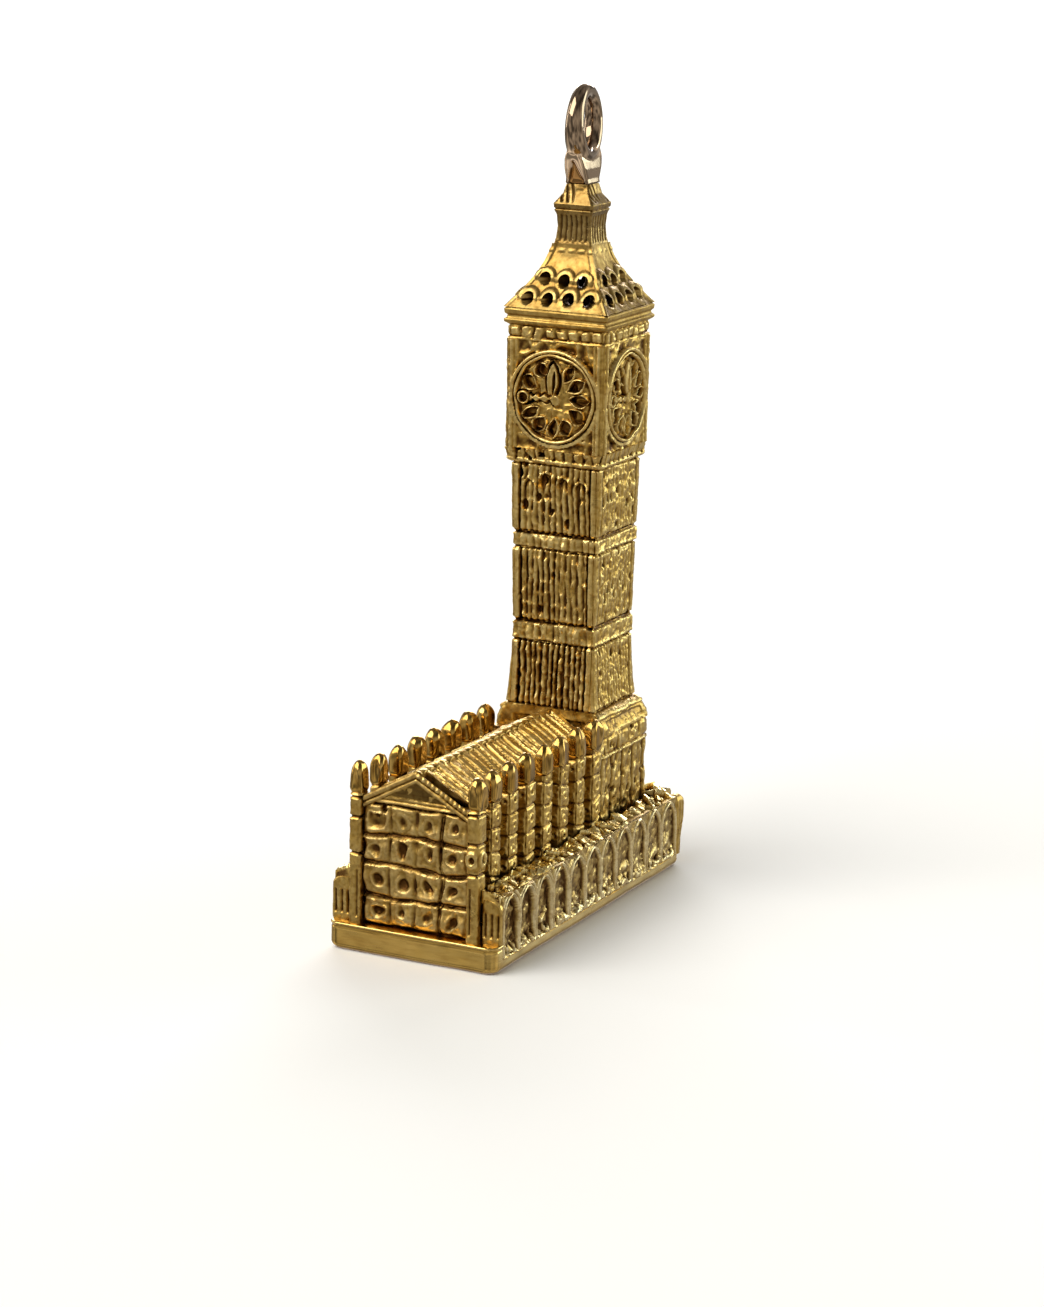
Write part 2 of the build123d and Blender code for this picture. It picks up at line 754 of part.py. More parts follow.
# ---- Lantern cap: a moulding and a small pyramid with hollowed sides
with BuildPart() as lantern_cap:
    loft([square(lantern_half, lantern_top), square(cap_half, lantern_top + cap_moulding / 2)])
    extrude(square(cap_half, lantern_top + cap_moulding / 2), amount=cap_moulding / 2)
    cap_middle_half = (cap_half + 2 * cap_neck_half) / 3
    loft(
        [
            square(cap_half, lantern_top + cap_moulding),
            square(cap_middle_half, (lantern_top + cap_moulding + cap_top) / 2),
            square(cap_neck_half, cap_top),
        ]
    )
finish_piece(lantern_cap, "lantern_cap")

# ---- Bail: an upright ring on a short square post, its hole a few degrees off X
bail_axis = Vector(1, 0, 0).rotate(Axis.Z, bail_twist)
bail_plane = Plane((0, tower_y, bail_centre), x_dir=bail_axis.rotate(Axis.Z, 90), z_dir=bail_axis)
with BuildPart() as bail:
    with BuildSketch(bail_plane.offset(-bail_band_width / 2)):
        Circle(bail_outer_radius)
        Circle(bail_eye_radius, mode=Mode.SUBTRACT)
    extrude(amount=bail_band_width)
    rims = bail.edges().filter_by(GeomType.CIRCLE)
    fillet(rims.filter_by(lambda edge: edge.radius > bail_eye_radius + 0.01), bail_outer_round)
    eye_rims = bail.edges().filter_by(GeomType.CIRCLE)
    fillet(eye_rims.filter_by(lambda edge: abs(edge.radius - bail_eye_radius) < 0.001), bail_eye_round)
    ring_foot = bail_centre - bail_eye_radius - bail_band_thickness / 2
    loft([square(cap_neck_half, cap_top), square(bail_band_width / 2, ring_foot)])
finish_piece(bail, "bail")
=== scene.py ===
"""The looks of a gold charm, a clock tower with a hall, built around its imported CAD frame.

Lengths here are millimetres in the CAD model's frame.  `solid` writes them in metres.
Every piece is a closed mesh whose relief (ribs, arches, leaves, chips) is real geometry.
"""
import itertools
import math

import bpy
import numpy as np
from mathutils import Matrix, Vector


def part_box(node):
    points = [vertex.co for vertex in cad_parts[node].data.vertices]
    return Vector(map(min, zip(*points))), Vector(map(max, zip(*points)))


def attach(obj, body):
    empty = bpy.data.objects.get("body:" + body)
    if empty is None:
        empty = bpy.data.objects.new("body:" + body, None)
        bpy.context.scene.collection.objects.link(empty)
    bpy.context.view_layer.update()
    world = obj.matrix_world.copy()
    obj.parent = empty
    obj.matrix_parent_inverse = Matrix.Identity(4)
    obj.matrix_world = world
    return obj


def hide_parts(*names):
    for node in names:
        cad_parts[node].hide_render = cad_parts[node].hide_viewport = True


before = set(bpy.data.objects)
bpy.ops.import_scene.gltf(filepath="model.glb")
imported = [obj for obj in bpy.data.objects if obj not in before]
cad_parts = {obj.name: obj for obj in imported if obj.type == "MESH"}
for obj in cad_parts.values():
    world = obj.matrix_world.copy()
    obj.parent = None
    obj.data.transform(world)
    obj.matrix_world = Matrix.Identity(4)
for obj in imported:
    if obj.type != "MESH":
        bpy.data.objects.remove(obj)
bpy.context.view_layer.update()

MM = 0.001
STEP = 0.05
FINE_STEP = 0.035
UP = np.array([0.0, 0.0, 1.0])
SIDE_NORMALS = np.array([[0.0, -1.0], [1.0, 0.0], [0.0, 1.0], [-1.0, 0.0]])
FRONT, RIGHT, BACK, LEFT = range(4)
# Noise is sampled through this scale where its lumps stand taller than they are wide.
UPRIGHT = np.array([1.0, 1.0, 0.36])
# The sine of half a right angle, and what a corner's curve takes off its side.
CORNER_SINE = 0.7072
CORNER_LOSS = 0.293


def ends(node):
    """The lowest and highest corner of a CAD node, in millimetres."""
    low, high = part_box(node)
    return np.array(low) / MM, np.array(high) / MM


def half_of(node):
    """Half the width of a CAD node."""
    low, high = ends(node)
    return (high[0] - low[0]) / 2


def middle_of(node):
    """The middle of a CAD node's plan."""
    low, high = ends(node)
    return ((low + high) / 2)[:2]


TOWER = middle_of("cornice")
SHAFT_HALF = 2.36
SHAFT_FRONT = TOWER[1] - SHAFT_HALF


# ---------------------------------------------------------------- noise
LATTICE_SIZE = 48
LATTICE = np.random.RandomState(11).rand(LATTICE_SIZE, LATTICE_SIZE, LATTICE_SIZE)


def lattice(cell, turn=0):
    """A fixed random number from 0 to 1 for each whole-number place."""
    place = (cell + 7 * turn) % LATTICE_SIZE
    return LATTICE[place[..., 0], place[..., 1], place[..., 2]]


def noise(points, size, seed=0):
    """Smooth noise from -1 to 1 with lumps of about the given size."""
    place = points / size + 5.3 * seed
    cell = np.floor(place).astype(int)
    share = place - cell
    share = share * share * (3 - 2 * share)
    total = 0
    for corner in itertools.product((0, 1), repeat=3):
        weight = np.prod(np.where(np.array(corner) == 1, share, 1 - share), axis=-1)
        total = total + weight * lattice(cell + np.array(corner))
    return 2 * total - 1


def rough(points, size, seed=0):
    """Noise with finer noise on it."""
    octaves = ((1, 0.6), (2.1, 0.3), (4.3, 0.15))
    layers = (share * noise(points, size / finer, seed + turn) for turn, (finer, share) in enumerate(octaves))
    return sum(layers)


def crumbs(points, size, seed=0):
    """Scattered points: how far the nearest one is, its random share, and the tilt of its flat facet."""
    place = points / size + 3.7 * seed
    cell = np.floor(place).astype(int)
    near = np.full(place.shape[:-1], 9.0)
    pick = np.zeros(place.shape[:-1])
    tilt = np.zeros(place.shape[:-1])
    for offset in itertools.product((-1, 0, 1), repeat=3):
        there = cell + np.array(offset)
        spot = there + np.stack([lattice(there, turn) for turn in (1, 2, 3)], axis=-1)
        lean = np.stack([lattice(there, turn) for turn in (5, 6, 7)], axis=-1) * 2 - 1
        gap = np.linalg.norm(spot - place, axis=-1)
        closer = gap < near
        pick = np.where(closer, lattice(there, 4), pick)
        tilt = np.where(closer, np.sum((place - spot) * lean, axis=-1), tilt)
        near = np.minimum(near, gap)
    return near, pick, tilt


def veins(points, size, seed=0):
    """Winding ridges, 1 on their crests, from smooth noise."""
    return (1 - np.abs(noise(points, size, seed))) ** 2


# ---------------------------------------------------------------- outlines and relief
def fill(distance, soft=0.08):
    """1 inside an outline and 0 outside it, from the distance to it, with a soft edge."""
    share = np.clip(0.5 - distance / soft, 0, 1)
    return share * share * (3 - 2 * share)


def line(distance, width):
    """A rounded ridge of the given width along an outline."""
    return np.sqrt(np.clip(1 - (2 * distance / width) ** 2, 0, 1))


def laid(depth, distance, level, soft=0.1):
    """A relief with a flat shape laid over it at a level of its own."""
    return depth + (level - depth) * fill(distance, soft)


def box_gap(across, along, half_across, half_along, corner=0.0):
    """Distance to a rectangle with rounded corners, negative inside."""
    a = np.abs(across) - half_across + corner
    b = np.abs(along) - half_along + corner
    return np.hypot(np.maximum(a, 0), np.maximum(b, 0)) + np.minimum(np.maximum(a, b), 0) - corner


def arch_gap(across, height, width, sill, spring, apex):
    """Distance to a pointed arch opening, negative inside."""
    rise = apex - spring
    radius = (width * width / 4 + rise * rise) / width
    head = np.hypot(np.abs(across) + radius - width / 2, height - spring) - radius
    jamb = np.abs(across) - width / 2
    return np.maximum(np.where(height > spring, head, jamb), sill - height)


def in_row(place, pitch):
    """Which cell of an even row a place is in, and how far it is from that cell's middle."""
    index = np.floor(place / pitch)
    return index, place - (index + 0.5) * pitch


def chance(index, turn=0):
    """A fixed random share for each whole number."""
    return lattice(np.stack([index, index * 0 + turn, index * 0 + 3], axis=-1).astype(int))


def blur(field, reach, wrap):
    """The mean of a field over a square of cells about each cell."""
    for axis, mode in ((0, "edge"), (1, "wrap" if wrap else "edge")):
        pads = [(0, 0), (0, 0)]
        pads[axis] = (reach + 1, reach)
        total = np.cumsum(np.pad(field, pads, mode=mode), axis=axis)
        width = 2 * reach + 1
        if axis == 0:
            field = (total[width:] - total[:-width]) / width
        else:
            field = (total[:, width:] - total[:, :-width]) / width
    return field


def wear_of(relief, wrap):
    """How proud each point stands of what is round it: 0 in a pit, 0.5 on a plain, 1 on an edge."""
    near_reach, far_reach, gain, plain_depth = 3, 8, 5.5, 0.08
    proud = relief - 0.5 * blur(relief, near_reach, wrap) - 0.5 * blur(relief, far_reach, wrap)
    sunk = np.minimum(relief + plain_depth, 0)
    return np.clip(0.5 + gain * proud + sunk, 0, 1)


# ---------------------------------------------------------------- meshes
def span(low, high, step=STEP):
    """Evenly spaced places from low to high."""
    return np.linspace(low, high, max(2, int(math.ceil((high - low) / step)) + 1))


def skin(rings, wear, wrap=False):
    """An island of mesh over stacked rings: closed on itself if wrap, else with two end caps."""
    count, around = rings.shape[:2]
    index = np.arange(count * around).reshape(count, around)
    rows = index if not wrap else np.vstack([index, index[:1]])
    low, high = rows[:-1], rows[1:]
    quads = np.stack([low, np.roll(low, -1, axis=1), np.roll(high, -1, axis=1), high], axis=-1).reshape(-1, 4)
    faces = quads.tolist()
    if not wrap:
        faces.append(index[0][::-1].tolist())
        faces.append(index[-1].tolist())
    return rings.reshape(-1, 3), np.broadcast_to(wear, (count, around)).reshape(-1), faces


def volume(points, faces):
    """Six times the enclosed volume, from the faces' first corners."""
    quads = np.array([face for face in faces if len(face) == 4])
    a, b, c, d = (points[quads[:, k]] for k in range(4))
    return np.sum(a * np.cross(b, c)) + np.sum(a * np.cross(c, d))


def store_wear_and_painted_light(mesh, wear):
    """Stores the wear, and on the bail a painted highlight, that the materials are coloured by."""
    mesh.attributes.new("wear", "FLOAT", "POINT").data.foreach_set("value", wear.astype(np.float32))


def solid(name, islands, material, nodes=None, sharp=65):
    """A finished piece from its islands, in metres, riding on the one body.

    It stands for the CAD node of its own name, or for the nodes given.
    """
    points, wear, faces, start = [], [], [], 0
    for island_points, island_wear, island_faces in islands:
        if volume(island_points - island_points.mean(axis=0), island_faces) < 0:
            island_faces = [face[::-1] for face in island_faces]
        points.append(island_points)
        wear.append(island_wear)
        faces += [[start + corner for corner in face] for face in island_faces]
        start += len(island_points)
    mesh = bpy.data.meshes.new(name)
    mesh.from_pydata((np.concatenate(points) * MM).tolist(), [], faces)
    store_wear_and_painted_light(mesh, np.concatenate(wear))
    mesh.shade_smooth()
    mesh.set_sharp_from_angle(angle=math.radians(sharp))
    mesh.materials.append(material)
    made = bpy.data.objects.new(name, mesh)
    bpy.context.scene.collection.objects.link(made)
    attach(made, "root")
    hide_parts(*(nodes or [name]))
    return made


def column(centre, levels, half_x, half_y, relief=None, corner=0.12, step=STEP, bore=0.0, lean=None):
    """Rings up a rectangular column, front side first.

    half_x and half_y are its half widths at each level.  relief(side, across, height, points)
    gives how far the surface stands out.  A bore makes it a tube.
    """
    half_x, half_y = np.broadcast_to(half_x, levels.shape), np.broadcast_to(half_y, levels.shape)
    loops, reliefs, inner = [], [], []
    for side, normal in enumerate(SIDE_NORMALS):
        tangent = np.array([-normal[1], normal[0]])
        reach, half = (half_y, half_x) if side % 2 == 0 else (half_x, half_y)
        count = max(6, int(math.ceil(2 * half.max() / step)))
        share = np.linspace(-1, 1, count, endpoint=False)
        radius = np.minimum(corner, np.minimum(half_x, half_y) * 0.9)[:, None]
        across = share[None, :] * (half[:, None] - CORNER_LOSS * radius)
        over = np.clip((np.abs(across) - half[:, None] + radius) / radius, 0, CORNER_SINE)
        inset = radius * (1 - np.sqrt(1 - over * over))
        out = np.sqrt(1 - over * over)[..., None] * normal + (over * np.sign(across))[..., None] * tangent
        flat = (reach[:, None] - inset)[..., None] * normal + across[..., None] * tangent
        place = np.concatenate([flat, np.broadcast_to(levels[:, None, None], across.shape + (1,))], axis=-1)
        place[..., :2] += centre
        if lean is not None:
            place[..., :2] += lean[:, None, :]
        raised = relief(side, across, levels[:, None], place) if relief else np.zeros(across.shape)
        raised = np.broadcast_to(raised, across.shape)
        place[..., :2] += out * raised[..., None]
        loops.append(place)
        reliefs.append(raised)
        inner.append(bore * normal + share[:, None] * bore * tangent + centre)
    rings, raised = np.concatenate(loops, axis=1), np.concatenate(reliefs, axis=1)
    wear = wear_of(raised, wrap=True)
    if bore:
        loop = np.concatenate(inner)
        foot = np.column_stack([loop, np.full(len(loop), levels[0])])
        head = np.column_stack([loop, np.full(len(loop), levels[-1])])
        rings = np.concatenate([foot[None], rings, head[None]])
        wear = np.vstack([wear[:1] * 0 + 0.2, wear, wear[:1] * 0 + 0.2])
    return skin(rings, wear, wrap=bool(bore))


def panel(origin, across_way, out_way, places, levels, relief, thickness, top=None):
    """An upright plate: relief(across, height, points) on its front, a flat back.

    top(across) gives a height that the plate's top follows, such as a gable.
    """
    across_way, out_way = np.array(across_way, float), np.array(out_way, float)
    heights = np.broadcast_to(levels[:, None], (len(levels), len(places)))
    if top is not None:
        share = (levels - levels[0]) / (levels[-1] - levels[0])
        heights = levels[0] + share[:, None] * (top(places) - levels[0])[None, :]
    flat = np.array(origin) + places[None, :, None] * across_way + heights[..., None] * UP
    raised = np.broadcast_to(relief(np.broadcast_to(places, heights.shape), heights, flat), heights.shape)
    front = flat + raised[..., None] * out_way
    back = flat[:, [-1, 0]] - thickness * out_way
    wear = np.pad(wear_of(raised, wrap=False), ((0, 0), (0, 2)), constant_values=0.4)
    return skin(np.concatenate([front, back], axis=1), wear)


def ridge(stations, path, under, lift):
    """A shell swept along +Y: a path of (x, z) points raised by lift(x, y, points), over an underside."""
    x, z = path[:, 0], path[:, 1]
    slope = np.gradient(path, axis=0)
    out = np.column_stack([-slope[:, 1], slope[:, 0]])
    out = out / np.linalg.norm(out, axis=1, keepdims=True) * np.sign(out[len(out) // 2, 1] + 1e-9)
    flat = np.zeros((len(stations), len(path), 3))
    flat[..., 0], flat[..., 1], flat[..., 2] = x, stations[:, None], z
    raised = np.broadcast_to(lift(x[None, :], stations[:, None], flat), flat.shape[:2])
    top = flat.copy()
    top[..., 0] = np.clip(x + raised * out[:, 0], x.min(), x.max())
    top[..., 2] += raised * out[:, 1]
    below = np.zeros((len(stations), len(under), 3))
    below[..., 0], below[..., 1], below[..., 2] = under[:, 0], stations[:, None], under[:, 1]
    wear = np.pad(wear_of(raised, wrap=False), ((0, 0), (0, len(under))), constant_values=0.4)
    return skin(np.concatenate([top, below], axis=1), wear)


# ---------------------------------------------------------------- materials
def gold(name, slot, colours, roughness, grain, mottle=1.0, streak=(1, 1, 1)):
    """Old gold: brown in the pits, pale on worn edges, with clouded colour, uneven polish and fine grain, and
    painted shade where ambient occlusion darkens corners and gaps.

    colours are those of the pits, the plain metal and the edges.  grain is its size and depth,
    mottle the strength of the clouds, and streak what stretches the textures along an axis.
    """
    pit, plain, edge = colours
    grain_size, grain_depth = grain
    material = bpy.data.materials.new(name)
    material["slot"] = slot
    material.use_nodes = True
    nodes, links = material.node_tree.nodes, material.node_tree.links
    shader = nodes["Principled BSDF"]
    shader.inputs["Metallic"].default_value = 1.0
    place = nodes.new("ShaderNodeTexCoord")
    stretch = nodes.new("ShaderNodeMapping")
    stretch.inputs["Scale"].default_value = streak
    links.new(place.outputs["Object"], stretch.inputs["Vector"])

    def spots(size, detail=3.0):
        texture = nodes.new("ShaderNodeTexNoise")
        texture.inputs["Scale"].default_value = 1 / (size * MM)
        texture.inputs["Detail"].default_value = detail
        links.new(stretch.outputs["Vector"], texture.inputs["Vector"])
        return texture.outputs["Fac"]

    def ramp(source, *stops):
        made = nodes.new("ShaderNodeValToRGB")
        elements = made.color_ramp.elements
        while len(elements) < len(stops):
            elements.new(0.5)
        for element, (position, colour) in zip(elements, stops):
            element.position = position
            element.color = (*colour, 1)
        links.new(source, made.inputs["Fac"])
        return made.outputs["Color"]

    def multiply(first, second, share=1.0):
        made = nodes.new("ShaderNodeMix")
        made.data_type = "RGBA"
        made.blend_type = "MULTIPLY"
        made.inputs["Factor"].default_value = share
        links.new(first, made.inputs["A"])
        links.new(second, made.inputs["B"])
        return made.outputs["Result"]

    wear = nodes.new("ShaderNodeAttribute")
    wear.attribute_name = "wear"
    colour = ramp(wear.outputs["Fac"], (0.10, pit), (0.46, plain), (0.82, edge))
    clouds = ramp(spots(1.4), (0.30, (0.80, 0.72, 0.55)), (0.62, (1.0, 1.0, 1.0)))
    specks = ramp(spots(0.22), (0.34, (0.62, 0.52, 0.40)), (0.52, (1.0, 1.0, 1.0)))
    colour = multiply(multiply(colour, clouds, 0.8 * mottle), specks, 0.7 * mottle)
    # Painted shade: ambient occlusion darkens the colour in corners, recesses and gaps between parts.
    corners = nodes.new("ShaderNodeAmbientOcclusion")
    corners.samples = 6
    corners.inputs["Distance"].default_value = 0.45 * MM
    painted_shade = ramp(corners.outputs["AO"], (0.10, (0.34, 0.23, 0.13)), (0.55, (1.0, 1.0, 1.0)))
    links.new(multiply(colour, painted_shade), shader.inputs["Base Color"])
    polish = nodes.new("ShaderNodeMapRange")
    polish.inputs["From Min"].default_value = 0.3
    polish.inputs["From Max"].default_value = 0.7
    polish.inputs["To Min"].default_value = roughness * 0.7
    polish.inputs["To Max"].default_value = roughness * 1.4
    links.new(spots(0.5), polish.inputs["Value"])
    links.new(polish.outputs["Result"], shader.inputs["Roughness"])
    bump = nodes.new("ShaderNodeBump")
    bump.inputs["Strength"].default_value = 0.4
    bump.inputs["Distance"].default_value = grain_depth * MM
    links.new(spots(grain_size, 5.0), bump.inputs["Height"])
    links.new(bump.outputs["Normal"], shader.inputs["Normal"])
    return material


CAST = gold(
    "cast_gold",
    "textured_gold",
    ((0.12, 0.055, 0.014), (0.54, 0.35, 0.088), (0.84, 0.64, 0.26)),
    0.34,
    (0.13, 0.035),
)
# A darker copy of the cast gold for the tower roof: painted shade.
SHADED = gold(
    "shaded_gold",
    "textured_gold",
    ((0.12, 0.035, 0.012), (0.36, 0.23, 0.065), (0.66, 0.49, 0.19)),
    0.34,
    (0.2, 0.02),
)
# A darker copy still, for the lantern and its cap: painted shade.
DEEP_SHADED = gold(
    "deep_shaded_gold",
    "textured_gold",
    ((0.05, 0.02, 0.006), (0.25, 0.155, 0.045), (0.60, 0.43, 0.17)),
    0.28,
    (0.2, 0.02),
)
# A rougher copy of the cast gold for the hall front and the cornice; its darker colour is painted shade.
DULL_SHADED = gold(
    "dull_shaded_gold",
    "textured_gold",
    ((0.11, 0.05, 0.013), (0.46, 0.30, 0.08), (0.68, 0.50, 0.20)),
    0.42,
    (0.13, 0.035),
)
# A lighter, paler copy of the cast gold for the arcades: painted highlight.
LIT_GOLD = gold(
    "lit_gold",
    "textured_gold",
    ((0.12, 0.06, 0.018), (0.58, 0.42, 0.16), (0.92, 0.77, 0.45)),
    0.30,
    (0.13, 0.03),
)
# A lighter, yellower copy of the cast gold for the crushed roofs: painted highlight.
LIT_CRUSHED = gold(
    "lit_crushed_gold",
    "textured_gold",
    ((0.20, 0.10, 0.03), (0.76, 0.53, 0.15), (1.0, 0.85, 0.42)),
    0.24,
    (0.2, 0.015),
)
POLISHED = gold(
    "polished_gold",
    "polished_gold",
    ((0.30, 0.17, 0.04), (0.62, 0.40, 0.10), (0.90, 0.70, 0.30)),
    0.22,
    (0.3, 0.012),
    mottle=0.6,
    streak=(0.2, 0.2, 1),
)
BURNISHED = gold(
    "burnished_gold",
    "polished_gold",
    ((0.10, 0.045, 0.01), (0.46, 0.28, 0.065), (0.86, 0.64, 0.26)),
    0.13,
    (0.4, 0.012),
    mottle=0.9,
    streak=(1, 1, 0.3),
)
PALE = gold(
    "pale_gold",
    "pale_gold",
    ((0.42, 0.22, 0.07), (0.31, 0.225, 0.15), (0.78, 0.58, 0.40)),
    0.07,
    (0.6, 0.003),
    mottle=0.1,
)


def grainy(points, amount=1.0):
    """The unevenness that every casting has."""
    return amount * (0.022 * rough(points, 0.55, 3) + 0.010 * rough(points, 0.16, 8))


# ---------------------------------------------------------------- base plate
def base_plate():
    """The polished slab: rounded below, a thin lip on top, cut back behind the arcades."""
    low, high = ends("base_plate")
    wall_low = ends("arcade_wall_right")[0]
    half = (high - low) / 2
    foot_round, lip_round, lip_foot = 0.3, 0.07, high[2] - 0.1
    flank = span(foot_round + 0.02, lip_foot - 0.01)
    levels = np.concatenate([span(0, foot_round, 0.03), flank, span(lip_foot + 0.01, high[2], 0.02)])
    drop = np.clip(foot_round - levels, 0, foot_round)
    rise = np.clip(levels - high[2] + lip_round, 0, lip_round)
    inset = foot_round - np.sqrt(foot_round**2 - drop**2) + lip_round - np.sqrt(lip_round**2 - rise**2)

    def dents(side, across, height, points):
        behind = (points[..., 1] > wall_low[1]) * (height > wall_low[2] + 0.02) * (side in (RIGHT, LEFT))
        below_top = high[2] - height
        lip = 0.035 * line(below_top - 0.07, 0.14) - 0.03 * line(below_top - 0.2, 0.14)
        waves = 0.025 * noise(points, 1.8, 2) + 0.012 * noise(points, 0.7, 4)
        return waves + lip - 0.45 * behind - 0.055

    half_x, half_y = half[0] - inset, half[1] - inset
    return column(middle_of("base_plate"), levels, half_x, half_y, dents, corner=0.6, step=0.07)


solid("base_plate", [base_plate()], POLISHED)


# ---------------------------------------------------------------- arcades
def arcade(side_name, sign, seed):
    """Eleven pointed bays between slender ribs, rough inside, over a ledge of chips."""
    low, high = ends(f"arcade_wall_{side_name}")
    face = high[0] if sign > 0 else low[0]
    foot, top = low[2], high[2] + 0.36
    bay_count, thickness = 11, 0.68
    pitch = (high[1] - low[1]) / bay_count
    sill, spring, apex = foot + 0.45, foot + 1.82, foot + 2.8

    def relief(across, height, points):
        along = sign * across - low[1]
        bay, local = in_row(along, pitch)
        near = np.clip(1.3 - along / (5 * pitch), 0, 1)
        local = local + 0.04 * noise(points, 0.8, seed) + 0.10 * (chance(bay, seed + 2) - 0.5)
        width = 1.40 + 0.08 * (chance(bay, seed + 1) - 0.5)
        head = apex + 0.16 * (chance(bay, seed) - 0.5)
        opening = arch_gap(local, height, width, foot - 1, spring, head)
        inside = fill(opening, 0.1)
        slope = np.clip((sill - height) / (sill - foot), 0, 1)
        _, pick, tilt = crumbs(points, 0.3, seed)
        grit = 0.06 * rough(points, 0.26, seed + 3)
        heap = fill(height - foot - 0.95 - 0.3 * noise(points, 0.7, seed + 4), 0.5)
        recess = (-0.17 - 0.14 * near) * (1 - slope) + grit + heap * (0.02 + 0.07 * pick + 0.05 * tilt)
        ledge = (slope > 0) * (0.14 * (pick - 0.4) + 0.12 * tilt) * (height > foot + 0.06)
        rib = 0.11 * line(opening - 0.07, 0.18) + near * 0.10 * line(opening - 0.28, 0.16)
        rib = rib - 0.11 + 0.3 * grit
        fade = np.clip((height - foot) / 0.3, 0, 1)
        depth = inside * (recess + ledge) + (1 - inside) * rib * fade
        depth = np.where(height < foot + 0.05, -0.05, depth)
        return np.minimum(depth + grainy(points, 0.8), 0.02) - 0.02

    def broken_top(across):
        along = np.stack([0 * across, across, 0 * across], axis=-1)
        return top - 0.1 + 0.1 * noise(along, 0.5, seed + 6)

    places = span(low[1], high[1]) if sign > 0 else span(-high[1], -low[1])
    origin, along, out = (face, 0, 0), (0, sign, 0), (sign, 0, 0)
    return panel(origin, along, out, places, span(foot, top), relief, thickness, broken_top)


for name, sign, seed in (("right", 1, 1), ("left", -1, 21)):
    solid(f"arcade_wall_{name}", [arcade(name, sign, seed)], LIT_GOLD)


# ---------------------------------------------------------------- aisle ends, roofs and the rear
def aisle_end(side_name, sign):
    """The aisle's front: a rounded shoulder and three upright slots."""
    node = f"aisle_end_{side_name}"
    low, high = ends(node)
    half = (high - low)[:2] / 2
    levels = span(low[2], high[2] + 0.12)
    shoulder = 0.5
    sink = np.clip(levels - levels[-1] + shoulder, 0, shoulder)
    inset = 0.5 * (shoulder - np.sqrt(shoulder**2 - sink**2))
    lean = np.column_stack([-sign * inset * 0.9, inset * 0])

    def relief(side, across, height, points):
        if side != FRONT:
            return grainy(points, 0.8)
        _, local = in_row(across + 0.48, 0.32)
        field = box_gap(across, height - low[2] - 0.85, 0.46, 0.55)
        slots = fill(np.abs(local) - 0.06, 0.14) * fill(field, 0.12)
        return -0.11 * slots + grainy(points, 1.8) - 0.02

    half_x = half[0] - 0.015 - inset
    return column(middle_of(node), levels, half_x, half[1] + 0.05, relief, corner=0.14, lean=lean)


def aisle_roof(side_name, sign, seed):
    """A lean-to of crushed, shining lumps."""
    low, high = ends(f"aisle_roof_{side_name}")
    setback = 0.16
    inner, outer = (low[0], high[0] - setback) if sign > 0 else (high[0], low[0] + setback)
    share = np.linspace(0, 1, 26)
    fall = 0.30 * share**1.3 + 0.25 * np.clip(share - 0.85, 0, 1)
    path = np.column_stack([inner + (outer - inner) * share, high[2] - 0.05 - fall])
    under = np.array([[outer, low[2] - 0.05], [inner, low[2] - 0.05]])

    def lift(x, y, points):
        _, pick, tilt = crumbs(points, 0.62, seed)
        _, grain, slant = crumbs(points, 0.34, seed + 3)
        lumps = 0.26 * (pick - 0.5) + 0.15 * tilt + 0.07 * (grain - 0.5) + 0.05 * slant
        return lumps + 0.06 + 0.05 * np.cos(2 * np.pi * (y - low[1]) / 1.69)

    return ridge(span(low[1], high[1], 0.045), path, under, lift)


def rear_pier(side_name):
    """The smooth rounded pier at a rear corner, bulging backwards near its top."""
    low, high = ends(f"rear_pier_{side_name}")
    levels = span(low[2], high[2])
    bulge = np.interp(levels, [low[2], 1.3, 2.4, 3.1, 3.3, high[2]], [0.0, 0.0, 0.33, 0.33, 0.28, 0.05])
    dome = np.interp(levels, [3.0, 3.25, 3.42, 3.52, high[2]], [0.0, 0.03, 0.10, 0.2, 0.3])
    depth = (high[1] - 0.35 - low[1]) / 2
    half_y = depth + bulge / 2 - dome * 0.6
    half_x = (high[0] - low[0]) / 2 - 0.02 - dome
    centre = np.array([(low[0] + high[0]) / 2, low[1] + depth])
    lean = np.column_stack([bulge * 0, bulge / 2])

    def relief(side, across, height, points):
        groove = line(np.abs(across) - 0.12, 0.1) * fill(height - 3.1, 0.2)
        return -0.05 * groove + grainy(points) - 0.02

    return column(centre, levels, half_x, half_y, relief, corner=0.25, lean=lean)


def rear_wall():
    """A row of blind pointed arches."""
    low, high = ends("rear_wall")
    arch_count = 6

    def relief(across, height, points):
        _, local = in_row(across - low[0], (high[0] - low[0]) / arch_count)
        opening = arch_gap(local, height, 0.8, low[2] + 0.25, low[2] + 1.0, low[2] + 1.6)
        recess = -0.3 * fill(opening, 0.1) * (0.8 + 0.3 * rough(points, 0.3, 35))
        return recess + 0.08 * line(opening - 0.08, 0.16) + grainy(points, 1.4) - 0.08

    places, levels = span(low[0], high[0]), span(low[2], high[2])
    return panel((0, high[1], 0), (-1, 0, 0), (0, 1, 0), places, levels, relief, 0.5)


def rear_terrace():
    """The crushed ledge along the back, between the aisle roofs."""
    low, high = ends("rear_terrace")
    x = np.linspace(low[0], high[0], 150)
    path = np.column_stack([x, np.full(len(x), high[2] - 0.1)])
    under = np.array([[high[0], low[2] - 0.05], [low[0], low[2] - 0.05]])

    def lift(x, y, points):
        _, pick, tilt = crumbs(points, 0.55, 31)
        return 0.26 * (pick - 0.5) + 0.2 * tilt

    return ridge(span(low[1] - 0.3, high[1]), path, under, lift)


